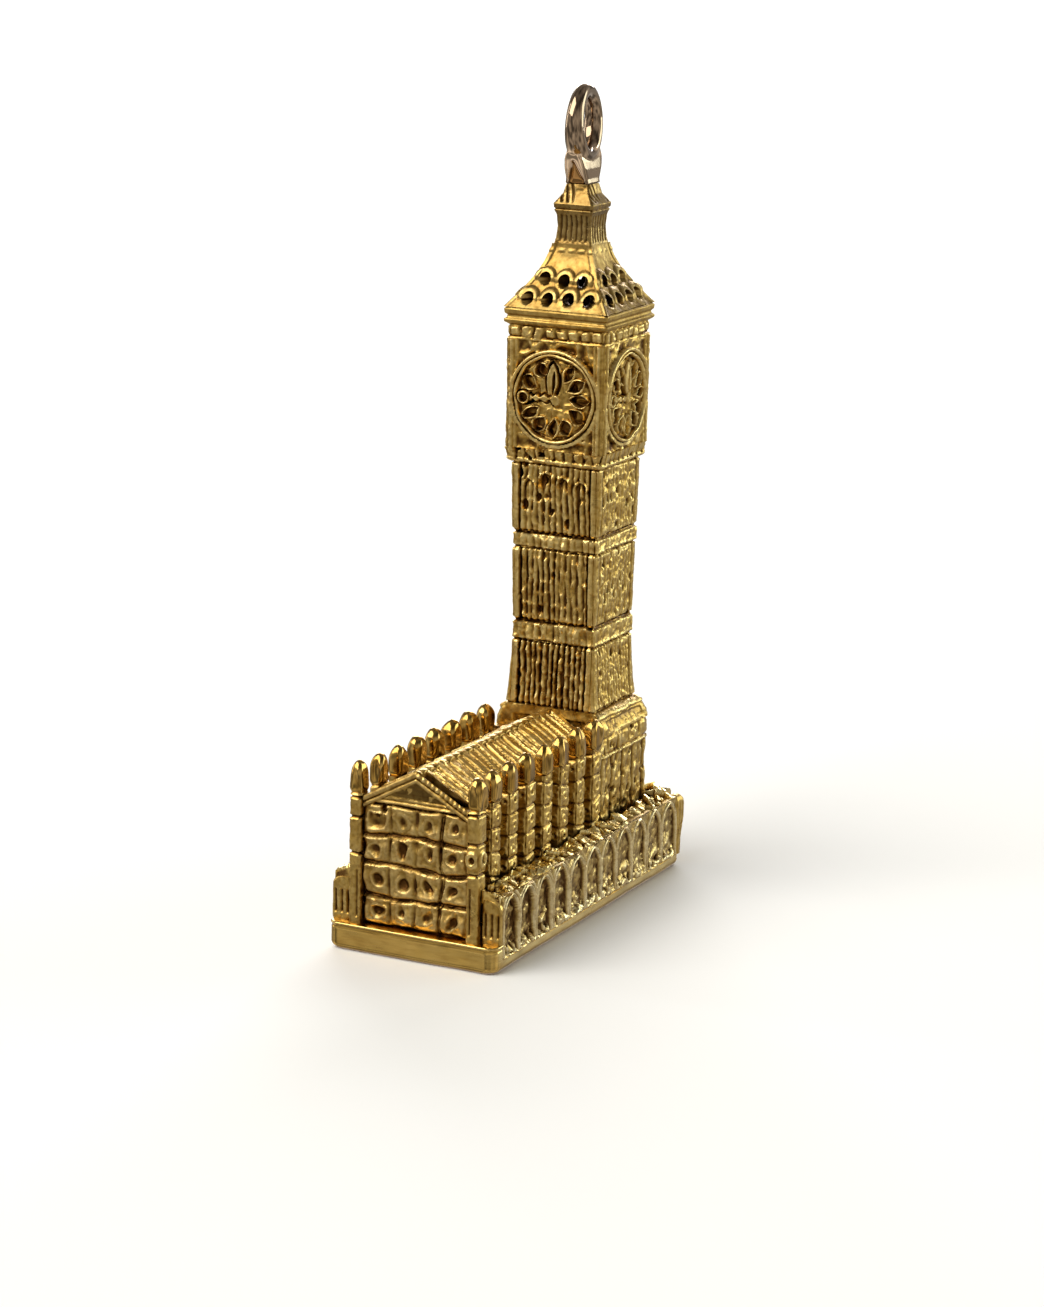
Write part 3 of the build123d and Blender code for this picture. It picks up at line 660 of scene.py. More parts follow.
for name, sign, seed in (("right", 1, 2), ("left", -1, 22)):
    solid(f"aisle_end_{name}", [aisle_end(name, sign)], CAST)
    solid(f"aisle_roof_{name}", [aisle_roof(name, sign, seed)], LIT_CRUSHED, sharp=32)
    solid(f"rear_pier_{name}", [rear_pier(name)], CAST)
solid("rear_wall", [rear_wall()], CAST)
solid("rear_terrace", [rear_terrace()], LIT_CRUSHED, sharp=32)


# ---------------------------------------------------------------- hall
def hall_front():
    """Four by four raised squares with dimples, under a gable with two rows of moulding."""
    low, high = ends("hall_front")
    eaves = ends("hall_side_right")[1][2]
    foot, apex, half = low[2], high[2], high[0]
    row_count, row_pitch, column_pitch, thickness = 4, 1.44, half / 2, 0.6
    grid_top = foot + row_count * row_pitch
    fall = math.cos(math.atan2(apex - eaves, half))

    def gable(across):
        return eaves + (apex - eaves) * (1 - np.abs(across) / half)

    def squares(u, z, points):
        column_index, cell_u = in_row(u + half, column_pitch)
        row_index, cell_z = in_row(z - foot, row_pitch)
        cell_u = cell_u + 0.06 * (chance(row_index, 5) - 0.5)
        block = column_index * row_count + row_index
        square = box_gap(cell_u, cell_z, 0.60, 0.60, 0.16)
        spot_u = cell_u + 0.14 * (chance(block, 7) - 0.5)
        spot_z = cell_z + 0.14 * (chance(block, 8) - 0.5)
        dimple = np.hypot(spot_u, 0.9 * spot_z) * (1 + 0.6 * noise(points, 0.4, 46))
        hollow = fill(dimple - 0.15 - 0.07 * chance(block, 9), 0.18) * (0.5 + 0.8 * chance(block, 6))
        eroded = 1 + 0.9 * noise(points, 0.8, 48)
        depth = -0.09 * eroded * (1 - fill(square, 0.14)) + 0.02 * line(square + 0.12, 0.18)
        depth += 0.05 * line(dimple - 0.32, 0.18) - 0.16 * hollow + 0.09 * noise(points, 0.5, 47)
        course = np.abs(cell_z) - row_pitch / 2
        depth += -0.08 * line(course + 0.02, 0.10) + 0.05 * line(cell_z - row_pitch / 2 + 0.15, 0.14)
        double = line(np.abs(u - half / 2) - 0.07, 0.09)
        return depth - 0.07 * double

    def relief(across, height, points):
        u = across + 0.13 * noise(points, 1.1, 5)
        z = height + 0.15 * noise(points, 1.3, 6)
        depth = squares(u, z, points)
        depth -= 0.28 * fill(np.hypot(across + 1.6, height - 6.8) - 0.14, 0.1)
        depth -= 0.14 * fill(np.hypot(across + 1.95, height - 6.45) - 0.08, 0.1)
        slope = (gable(across) - height) * fall
        rise = height - grid_top
        band = 0.09 * line(rise - 0.08, 0.16) + 0.07 * line(rise - 0.28, 0.14) - 0.05
        depth = np.where(z > grid_top, band, depth)
        tympanum = (slope > 0.46) * (z > grid_top + 0.36)
        depth = np.where(tympanum, grainy(points, 2.0), depth)
        beads = 0.04 * np.cos(2 * np.pi * np.hypot(across, height - apex) / 0.26) * (across > 0)
        rake = (0.11 + beads) * line(slope - 0.12, 0.26) + 0.09 * line(slope - 0.38, 0.2) - 0.03
        depth = np.where(slope < 0.5, rake, depth)
        return depth - 0.08 * fill(height - foot - 0.06, 0.1) + grainy(points, 1.6) - 0.02

    face, places, levels = low[1] + 0.1, span(-half, half), span(foot, eaves)
    return panel((0, face, 0), (1, 0, 0), (0, -1, 0), places, levels, relief, thickness, gable)


PIER_COUNT = 7
PIER_WIDTH = 1.0


def hall_side(side_name, sign, seed):
    """The wall behind the piers, with an upright bar and crossbars in each bay."""
    low, high = ends(f"hall_side_{side_name}")
    setback, foot, step, rung_pitch = 0.62, 3.2, 0.06, 0.87
    face = high[0] - setback if sign > 0 else low[0] + setback
    pier_low, pier_high = ends(f"hall_piers_{side_name}")
    pitch = (pier_high[1] - pier_low[1] - PIER_WIDTH) / (PIER_COUNT - 1)

    def relief(across, height, points):
        _, from_bar = in_row(sign * across - pier_low[1] - PIER_WIDTH / 2, pitch)
        _, from_rung = in_row(height, rung_pitch)
        bars = np.maximum(0.08 * line(from_bar, 0.2), 0.06 * line(from_rung, 0.2))
        return bars + 0.05 * rough(points, 0.35, seed) - 0.1

    places = span(low[1], high[1], step) if sign > 0 else span(-high[1], -low[1], step)
    return panel((face, 0, 0), (0, sign, 0), (sign, 0, 0), places, span(foot, high[2], step), relief, 0.5)


def pier(sign, x_face, y, foot, eaves, seed):
    """A pier of stacked stones with dots."""
    half_x, half_y = 0.29, 0.49
    centre = np.array([x_face - sign * (half_x + 0.02), y])
    stone = (eaves - foot) / 3.8
    start = seed % 3 * 0.2

    def stones(side, across, height, points):
        course, local = in_row(height - foot + 0.2 * noise(points * UPRIGHT, 0.8, seed) + start, stone)
        half = half_x if side in (FRONT, BACK) else half_y
        block = box_gap(across, local, half - 0.04, stone / 2 - 0.05, 0.08)
        share = chance(course, seed)
        dot = np.hypot(across - 0.1 * (share - 0.5), local - 0.3 * (share - 0.5))
        depth = -0.09 * (1 - fill(block, 0.12)) - 0.13 * share * fill(dot - 0.07, 0.1)
        return depth + 0.03 * line(dot - 0.18, 0.14) + grainy(points, 2.4)

    return column(centre, span(foot, eaves + 0.1), half_x, half_y, stones, corner=0.1)


def pinnacle(centre, eaves, top, width, seed):
    """A blunt egg-shaped head on a pier, with soft facets."""
    curve, tip = span(0.05, math.pi / 2, 0.1), 0.5
    levels = np.concatenate([span(eaves - 0.08, top - tip), top - tip + tip * np.sin(curve)])
    rise = (levels - eaves) / (top - eaves)
    dome = np.sqrt(np.maximum(1 - np.clip((rise - 0.45) / 0.55, 0, 1) ** 2.6, 0.002))
    half = (width / 2 + 0.04 * chance(np.array(seed), 3)) * dome * (1 - 0.2 * np.exp(-((rise / 0.1) ** 2)))

    def facets(side, across, height, points):
        return 0.09 * noise(points * UPRIGHT, 0.45, seed + 4) - 0.02

    return column(centre, levels, half, half * 1.25, facets, corner=0.24)


def pier_places(side_name, sign):
    """Where each pier stands along a side, and the face they share."""
    low, high = ends(f"hall_piers_{side_name}")
    face = high[0] if sign > 0 else low[0]
    return face, np.linspace(low[1] + PIER_WIDTH / 2, high[1] - PIER_WIDTH / 2, PIER_COUNT)


def hall_piers(side_name, sign, seed):
    """The piers of one side, up to the eaves."""
    foot, eaves = 3.3, ends(f"hall_side_{side_name}")[1][2]
    face, places = pier_places(side_name, sign)
    return [pier(sign, face, y, foot, eaves, seed + index) for index, y in enumerate(places)]


def pinnacles(side_name, sign, seed):
    """The burnished heads of one side's piers and of its corner turret."""
    eaves = ends(f"hall_side_{side_name}")[1][2]
    top = ends(f"hall_piers_{side_name}")[1][2]
    face, places = pier_places(side_name, sign)
    x, width = face - sign * 0.33, 0.74
    heads = [pinnacle((x, y), eaves, top, width, seed + index) for index, y in enumerate(places)]
    turret = f"corner_turret_{side_name}"
    turret_top, turret_width, head_height = ends(turret)[1][2], 0.66, 1.5
    head = pinnacle(middle_of(turret), turret_top - head_height, turret_top, turret_width, seed + 9)
    return heads + [head]


def corner_turret(side_name, sign, seed):
    """A plain square shaft with joints.  The right one carries a pierced boss."""
    node = f"corner_turret_{side_name}"
    low, high = ends(node)
    half = (high - low) / 2
    top, shoulder_height = high[2] - 1.4, 0.15
    levels = span(low[2], top)
    shoulder = 1 - 0.4 * np.clip((levels - top + shoulder_height) / shoulder_height, 0, 1) ** 2
    joints = (4.45, 5.85, 7.2) if sign > 0 else (4.62, 6.3, 7.2)
    boss = 5.15

    def relief(side, across, height, points):
        depth = grainy(points, 1.6)
        for joint in joints:
            depth = depth - 0.10 * line(height - joint - 0.04 * noise(points, 0.8, seed), 0.16)
        if sign > 0 and side in (FRONT, RIGHT):
            ring = np.hypot(across, 0.85 * (height - boss))
            depth = depth + 0.09 * fill(ring - 0.33, 0.14) - 0.22 * fill(ring - 0.12, 0.1)
        if side == FRONT:
            slot = box_gap(across + 0.12 * sign, height - 2.75, 0.06, 1.1, 0.05)
            depth = depth - 0.09 * fill(slot, 0.14)
        return depth - 0.03

    half_x, half_y = half[0] * shoulder, (half[1] - 0.04) * shoulder
    return column(middle_of(node), levels, half_x, half_y, relief, corner=0.2)


def hall_roof():
    """A roof of uneven slats that run down the slope, each a raised bar beside a thin line."""
    low, high = ends("hall_roof")
    eave, crown, slat_pitch = high[0] - 0.02, high[2] + 0.12, 0.56
    share = np.linspace(-1, 1, 111)
    path = np.column_stack([share * eave, crown - (crown - low[2]) * np.abs(share) ** 1.05])
    under = np.array([[eave - 0.3, low[2]], [0.0, high[2] - 0.4], [0.3 - eave, low[2]]])

    def lift(x, y, points):
        drift = 0.16 * noise(points * np.array([0.4, 1, 0.4]), 0.8, 9) + 0.14 * np.abs(x)
        slat, local = in_row(y + drift, slat_pitch)
        share = chance(slat, 21)
        bar = fill(np.abs(local + 0.06) - 0.12 - 0.06 * share, 0.06)
        thin = line(local - 0.21, 0.10)
        facet = 0.5 * (chance(slat, 22) - 0.5) * local
        worn = 0.9 + 0.3 * noise(points, 0.7, 12)
        return worn * (bar * (0.16 + 0.08 * share + facet) + 0.14 * thin) - 0.14 + grainy(points, 1.2)

    return ridge(span(low[1] - 0.05, SHAFT_FRONT + 0.1, 0.04), path, under, lift)


def ridge_crest():
    """Beads along the ridge."""
    low, high = ends("ridge_crest")
    angle = np.linspace(0, math.pi, 13)
    path = np.column_stack([-0.2 * np.cos(angle), low[2] + 0.02 + 0.12 * np.sin(angle)])
    under = np.array([[0.2, low[2] - 0.12], [-0.2, low[2] - 0.12]])

    def lift(x, y, points):
        bead, local = in_row(y + 0.06 * noise(points, 0.9, 14), 0.62)
        beads = 0.12 * (0.4 + 0.6 * chance(bead, 16)) * line(local, 0.56)
        return beads + 0.03 * noise(points, 0.3, 15) - 0.05

    return ridge(span(low[1] - 0.6, SHAFT_FRONT + 0.05, 0.04), path, under, lift)


solid("hall_front", [hall_front()], DULL_SHADED)
for name, sign, seed in (("right", 1, 41), ("left", -1, 61)):
    crowned = [f"hall_piers_{name}", f"corner_turret_{name}"]
    solid(f"hall_side_{name}", [hall_side(name, sign, seed)], CAST)
    solid(f"hall_piers_{name}", hall_piers(name, sign, seed), CAST)
    solid(f"pinnacles_{name}", pinnacles(name, sign, seed), BURNISHED, crowned)
    solid(f"corner_turret_{name}", [corner_turret(name, sign, seed)], CAST)
solid("hall_roof", [hall_roof()], CAST)
solid("ridge_crest", [ridge_crest()], CAST)


# ---------------------------------------------------------------- tower shaft
def tower_tube(name, profile, relief, bore, corner=0.22, step=STEP, front=None, material=CAST):
    """A tower stage: a tube whose half width follows (height, half width) points.

    front, where given, holds the front face at one distance from the tower's middle.
    """
    low, high = ends(name)
    levels = span(low[2], high[2], step)
    half = np.interp(levels, [point[0] for point in profile], [point[1] for point in profile])
    ahead = half if front is None else np.full(len(levels), front)
    lean = np.column_stack([half * 0, (half - ahead) / 2])
    half_y = (half + ahead) / 2
    island = column(TOWER, levels, half, half_y, relief, corner=corner, bore=bore, step=step, lean=lean)
    return solid(name, [island], material)


# How much of the ribs each side of the tower still shows.
RIBS = {FRONT: 1.0, RIGHT: 0.3, BACK: 0.8, LEFT: 0.9}
SHAFT_BORE = 1.58


def shaft_relief(bottom, top, half, seed, depth_of_ribs, arched=False):
    """Worn upright ribs between plain corner strips, mottled where the wear is heavier."""
    strip_width, rib_count, deepest = 0.42, 12, -0.34

    def relief(side, across, height, points):
        ribbed = RIBS[side]
        edge = half - strip_width
        strip = fill(edge - np.abs(across), 0.08)
        drift = 0.07 * noise(points * UPRIGHT, 0.55, seed + side) + 0.035 * noise(points, 0.22, seed + 3)
        turns = (across + edge + drift) / (2 * edge / rib_count)
        ribs = (0.5 - 0.5 * np.cos(2 * np.pi * turns)) ** 0.9
        worn = 0.9 + 0.35 * noise(points * UPRIGHT, 0.8, seed + 7)
        worms = veins(points * UPRIGHT, 0.2, seed + 9)
        depth = ribbed * (depth_of_ribs * worn * (ribs - 1) + 0.10 * (worms - 1)) * (1 - strip)
        near, pick, _ = crumbs(points * np.array([1, 1, 0.6]), 0.36, seed + side)
        pits = fill(near - 0.38, 0.3) * (pick < 0.13 + 0.12 * arched + 0.16 * (1 - ribbed))
        depth -= 0.18 * pits * (1 - strip)
        if arched:
            bay, local = in_row(across + edge + 0.1 * noise(points, 0.5, seed + 20), edge / 2)
            head = top - 0.45 - 0.3 * chance(bay, seed + 21)
            arch = arch_gap(local, height, 0.6, bottom - 9, head - 0.5, head)
            outline = fill(top - 1.3 - height, 0.5) * line(arch - 0.04, 0.14)
            opening = fill(top - 1.0 - height, 0.6) * fill(arch, 0.1)
            depth += ribbed * (1 - strip) * (0.10 * outline - 0.12 * opening)
        mottle = rough(points, 0.34, seed + 11 + side) + 0.3 * rough(points, 0.13, seed + 15)
        depth += (0.025 + 0.08 * (1 - ribbed)) * mottle * (1 - 0.6 * strip)
        depth -= 0.12 * line(np.abs(across) - edge, 0.1) * (0.4 + 0.6 * ribbed)
        depth -= 0.05 * line(half - 0.1 - np.abs(across), 0.07) * ribbed
        sill = np.minimum(height - bottom, top - height) + 0.05 * noise(points, 0.9, seed)
        depth -= 0.11 * line(sill - 0.02, 0.14)
        return np.maximum(depth, deepest) + grainy(points, 0.9)

    return relief


def course_relief(bottom, top, seed):
    """A band of short worn ribs between a deep groove above and a shallow one below."""

    def relief(side, across, height, points):
        ribbed = RIBS[side]
        wave = 0.05 * noise(points, 0.9, seed)
        depth = 0.10 * ribbed * (veins(points * np.array([1, 1, 0.5]), 0.3, seed + side) - 1)
        depth += 0.08 * ribbed * (np.abs(np.sin(np.pi * (across + wave) / 0.36)) ** 0.7 - 1)
        depth += 0.07 * rough(points, 0.3, seed + 2)
        above, below = top - height + wave, height - bottom + wave
        depth -= (0.1 + 0.12 * ribbed) * line(above - 0.04, 0.17) + 0.13 * line(below - 0.02, 0.13)
        return depth + 0.03 * (1 - ribbed) * line(below - 0.15, 0.13) + grainy(points, 1.0)

    return relief


def shaft_stage(name, foot_half, head_half, depth_of_ribs, seed):
    """One fluted stage of the shaft, a little waisted."""
    low, high = ends(name)
    waist = (low[2] + 0.45 * (high[2] - low[2]), foot_half * 0.35 + head_half * 0.65)
    narrowest, arched = min(foot_half, head_half), name == "shaft_upper"
    relief = shaft_relief(low[2], high[2], narrowest, seed, depth_of_ribs, arched)
    tower_tube(name, ((low[2], foot_half), waist, (high[2], head_half)), relief, SHAFT_BORE)


def string_course(name, seed):
    """One band between two stages of the shaft."""
    low, high = ends(name)
    half = half_of(name) - 0.01
    tower_tube(name, ((low[2], half), (high[2], half)), course_relief(low[2], high[2], seed), SHAFT_BORE)


shaft_stage("shaft_lower", 2.38, 2.18, 0.20, 71)
for name, seed in (("shaft_middle", 81), ("shaft_upper", 91)):
    shaft_stage(name, half_of(name) - 0.06, half_of(name), 0.13, seed)
for name, seed in (("string_course_lower", 75), ("string_course_upper", 85)):
    string_course(name, seed)


def plinth_relief(side, across, height, points):
    """Mottled panels under a row of raised blocks."""
    panel_pitch, panel_top, block_level = 1.16, 6.6, 7.1
    _, local = in_row(across + 2.5 * panel_pitch, panel_pitch)
    ribs = -0.12 * fill(np.abs(local) - 0.12, 0.14)
    near, pick, _ = crumbs(points, 0.45, 101)
    block = box_gap(local, height - block_level, 0.5, 0.32, 0.08)
    band = 0.1 * line(height - panel_top, 0.2) + 0.05 * fill(block, 0.12)
    mottle = 0.07 * rough(points, 0.35, 103) + 0.05 * (veins(points * UPRIGHT, 0.3, 104) - 1)
    pits = -0.14 * fill(near - 0.36, 0.3) * (pick < 0.25)
    return ribs * (height < panel_top) + mottle + band + pits - 0.08 + grainy(points)


def shoulder_relief(side, across, height, points):
    """A bright lip over a mottled slope with a sunk panel."""
    lip = 0.12 * line(height - 8.52 - 0.05 * noise(points, 0.8, 110), 0.3) * (side != FRONT)
    sunk = box_gap(across, height - 8.0, 1.9, 0.22, 0.08)
    return lip - 0.07 * fill(sunk, 0.12) + 0.05 * rough(points, 0.35, 112) - 0.03 + grainy(points, 1.5)


tower_tube("tower_plinth", ((1.3, 2.92), (7.6, 2.92)), plinth_relief, 1.8, corner=0.35)
tower_tube(
    "plinth_shoulder",
    ((7.6, 2.9), (7.95, 2.86), (8.35, 2.68), (8.6, 2.5), (8.7, 2.42)),
    shoulder_relief,
    1.6,
    corner=0.3,
    front=SHAFT_HALF,
)


# ---------------------------------------------------------------- clock stage
def corbel_relief(side, across, height, points):
    """Broken leaves and teeth over deep pits."""
    bottom = ends("corbel_course")[0][2]
    _, local = in_row(across + 0.06 * noise(points, 0.5, 120), 0.5)
    slot = fill(np.abs(local) - 0.2, 0.1)
    near, pick, tilt = crumbs(points, 0.42, 121)
    broken = 0.14 * (pick - 0.5) + 0.10 * tilt
    teeth = -0.24 * (1 - slot) * fill(bottom + 0.22 - height, 0.12)
    toothed = 1.0 if side == RIGHT else 0.45
    lip = 0.08 * line(height - bottom - 0.12, 0.2)
    pits = -0.26 * fill(near - 0.36, 0.25) * (pick < 0.16)
    return toothed * teeth + (1.2 - toothed) * broken + lip + pits + 0.05 * rough(points, 0.3, 122) - 0.03


def flared_tube(name, foot_half, head_half, relief, bore, **shape):
    """A tower stage whose sides run straight from its foot to its head."""
    low, high = ends(name)
    return tower_tube(name, ((low[2], foot_half), (high[2], head_half)), relief, bore, **shape)


corbel_low, corbel_high = ends("corbel_course")
corbel_profile = ((corbel_low[2], 2.38), (corbel_low[2] + 0.2, 2.46), (corbel_high[2], 2.6))
tower_tube("corbel_course", corbel_profile, corbel_relief, 1.6)

CLOCK_BORE = 1.75
dial_low, dial_high = ends("clock_dial_front")
DIAL_LEVEL = (dial_low[2] + dial_high[2]) / 2
DIAL_RADIUS = (dial_high[2] - dial_low[2]) / 2


def clock_relief(side, across, height, points):
    """Rolled corner pilasters, a hood over the dial, carved spandrels and the dial's seat."""
    reach = np.hypot(across, height - DIAL_LEVEL)
    seat, seat_depth = fill(reach - DIAL_RADIUS, 0.06), 0.6
    pilaster = fill(1.95 - np.abs(across), 0.1)
    roll = 0.10 * np.cos(np.clip((np.abs(across) - 2.26) / 0.3, -1, 1) * math.pi / 2)
    flutes = 0.06 * line(np.abs(np.abs(across) - 2.24) - 0.12, 0.12)
    knots = 0.05 * rough(points, 0.3, 130)
    carving = 0.13 * (veins(points, 0.5, 131) - 0.6) + 0.05 * rough(points, 0.25, 132)
    depth = pilaster * (roll - flutes + knots - 0.06) + (1 - pilaster) * (carving - 0.12)
    above = fill(DIAL_LEVEL + 0.5 - height, 0.8)
    from_hood = reach - DIAL_RADIUS - 0.12
    hood = above * (0.16 * line(from_hood, 0.2) - 0.02)
    depth = np.where(np.abs(from_hood) < 0.1, np.maximum(depth, hood), depth)
    return depth * (1 - seat) - seat_depth * seat + grainy(points, 1.4) - 0.02


flared_tube("clock_stage", 2.57, 2.6, clock_relief, CLOCK_BORE, corner=0.3)


def petal(x, y, inner, outer, width):
    """Distance to a leaf that lies along +x from the inner to the outer radius."""
    share = np.clip((x - inner) / (outer - inner), 0, 1)
    half = width * np.sin(np.pi * share**1.2) ** 0.8
    over = np.maximum(np.maximum(inner - x, x - outer), 0)
    return np.abs(y) - half + over * 1.5


def dial_relief(x, y, flat, seed):
    """Twelve sunk leaves with raised outlines, a broad minute hand, and an hour hand that ends in a ring."""
    u = x + 0.09 * noise(flat, 0.6, seed)
    v = y + 0.09 * noise(flat, 0.6, seed + 1)
    radius, angle = np.hypot(u, v), np.arctan2(v, u)
    hour_turn = math.pi / 6
    hour = np.round(angle / hour_turn)
    share = chance(hour + 12, seed)
    swing = angle - hour * hour_turn + 0.12 * (share - 0.5)
    along, aside = radius * np.cos(swing), radius * np.sin(swing)
    leaf = petal(along, aside, 0.80 + 0.3 * share, 1.82, 0.22 + 0.12 * chance(hour + 12, seed + 1))
    depth = 0.06 * noise(flat, 0.4, seed + 3) + 0.07 * (veins(flat, 0.3, seed + 5) - 1) - 0.01
    depth += 0.15 * line(leaf - 0.03, 0.15) - 0.22 * fill(leaf + 0.02, 0.08)
    rim = 0.20 * line(radius - DIAL_RADIUS + 0.09, 0.19) - 0.06
    inside = depth - 0.06 * line(radius - DIAL_RADIUS + 0.26, 0.14)
    depth = np.where(radius > DIAL_RADIUS - 0.18, rim, inside)
    minute = petal(v, u + 0.05, -0.25, 1.70, 0.29)
    depth = laid(depth, minute - 0.12, -0.16)
    depth = laid(depth, minute, 0.14)
    depth -= 0.22 * fill(petal(v, u - 0.03, 0.1, 1.35, 0.07), 0.07)
    lobes = 0.12 + 0.05 * np.cos(2 * np.pi * u / 0.42)
    hand = box_gap(u + 0.72, v, 0.6, lobes, 0.08)
    depth = laid(depth, hand - 0.09, -0.14)
    depth = laid(depth, hand, 0.14)
    ring = np.hypot(u + 1.62, v)
    depth = laid(depth, ring - 0.36, -0.16)
    depth += 0.30 * line(ring - 0.27, 0.15)
    depth = laid(depth, np.hypot(u - 0.1, v + 0.05) - 0.26, 0.12, 0.16)
    proudest = 0.15
    return np.minimum(depth + grainy(flat, 1.2), proudest)


def dial(side, seed):
    """A dial as rings round its middle, with a skirt that drops into its seat."""
    name = "clock_dial_" + ("front", "right", "back", "left")[side]
    low, high = ends(name)
    skirt_depth, ring_step, around = 0.6, 0.03, 380
    normal = np.array([*SIDE_NORMALS[side], 0.0])
    tangent = np.array([-normal[1], normal[0], 0.0])
    face = (low + high) / 2 + normal * ((high - low)[0 if side % 2 else 1] / 2 - 0.1)
    radii = span(0.02, DIAL_RADIUS, ring_step)
    angles = np.linspace(0, 2 * math.pi, around, endpoint=False)
    reach, turn = np.meshgrid(radii, angles, indexing="ij")
    x, y = reach * np.cos(turn), reach * np.sin(turn)
    flat = face + x[..., None] * tangent + y[..., None] * UP
    depth = dial_relief(x, y, flat, seed)
    front = flat + depth[..., None] * normal
    skirt = flat[-1:] - skirt_depth * normal
    wear = np.vstack([wear_of(depth, wrap=True), np.full((1, around), 0.3)])
    solid(name, [skin(np.concatenate([front, skirt]), wear)], CAST)


for side in range(4):
    dial(side, 141 + 7 * side)


def frieze_relief(side, across, height, points):
    """Uneven raised blocks over a thin moulding."""
    low, high = ends("frieze")
    wave = 0.10 * noise(points, 0.6, 151)
    block, local = in_row(across + wave, 0.6)
    half = 0.17 + 0.10 * chance(block + 9, 150 + side)
    from_middle = height - (low[2] + high[2]) / 2
    tooth = box_gap(local, from_middle - 0.04 + wave, half, 0.22, 0.1)
    depth = -0.12 * (1 - fill(tooth, 0.14)) + 0.07 * rough(points, 0.28, 152)
    return depth + grainy(points) + 0.12 * line(height - low[2] - 0.03, 0.16)


flared_tube("frieze", 2.55, 2.57, frieze_relief, CLOCK_BORE, corner=0.25)


def worn_relief(side, across, height, points):
    """Plain metal, worn uneven."""
    return grainy(points, 1.0) + 0.02 * noise(points, 0.9, 155) - 0.03


# The cornice's half width at each rise above its foot.
CORNICE_MOULDING = (
    (0.0, 2.50),
    (0.06, 2.58),
    (0.13, 2.69),
    (0.26, 2.71),
    (0.35, 2.60),
    (0.46, 2.58),
    (0.54, 2.69),
    (0.74, 2.71),
    (0.84, 2.60),
)
cornice_foot = ends("cornice")[0][2]
cornice_profile = [(cornice_foot + rise, half) for rise, half in CORNICE_MOULDING]
tower_tube("cornice", cornice_profile, worn_relief, CLOCK_BORE, corner=0.16, step=FINE_STEP, material=DULL_SHADED)


# ---------------------------------------------------------------- pierced roof
def pierced(shell, core, is_open, wear):
    """A double-walled ring of cells, with the open cells cut through and their edges closed."""
    rows, around = is_open.shape
    index = np.arange(rows * around).reshape(rows, around)
    beside = np.roll(index, -1, axis=1)
    cut = is_open[:-1] | is_open[1:]
    cut = cut | np.roll(cut, -1, axis=1)
    inner = rows * around
    faces = []
    for row in range(rows - 1):
        for place in range(around):
            if cut[row, place]:
                continue
            a, b = index[row, place], beside[row, place]
            c, d = beside[row + 1, place], index[row + 1, place]
            faces.append([a, b, c, d])
            faces.append([d + inner, c + inner, b + inner, a + inner])
            if row == 0 or cut[row - 1, place]:
                faces.append([b, a, a + inner, b + inner])
            if row == rows - 2 or cut[row + 1, place]:
                faces.append([d, c, c + inner, d + inner])
            if cut[row, place - 1]:
                faces.append([a, d, d + inner, a + inner])
            if cut[row, (place + 1) % around]:
                faces.append([c, b, b + inner, c + inner])
    points = np.concatenate([shell.reshape(-1, 3), core.reshape(-1, 3)])
    core_wear = 0.15
    wear = np.concatenate([wear.reshape(-1), np.full(inner, core_wear)])
    used, faces = np.unique(np.array(faces), return_inverse=True)
    return points[used], wear[used], faces.reshape(-1, 4).tolist()


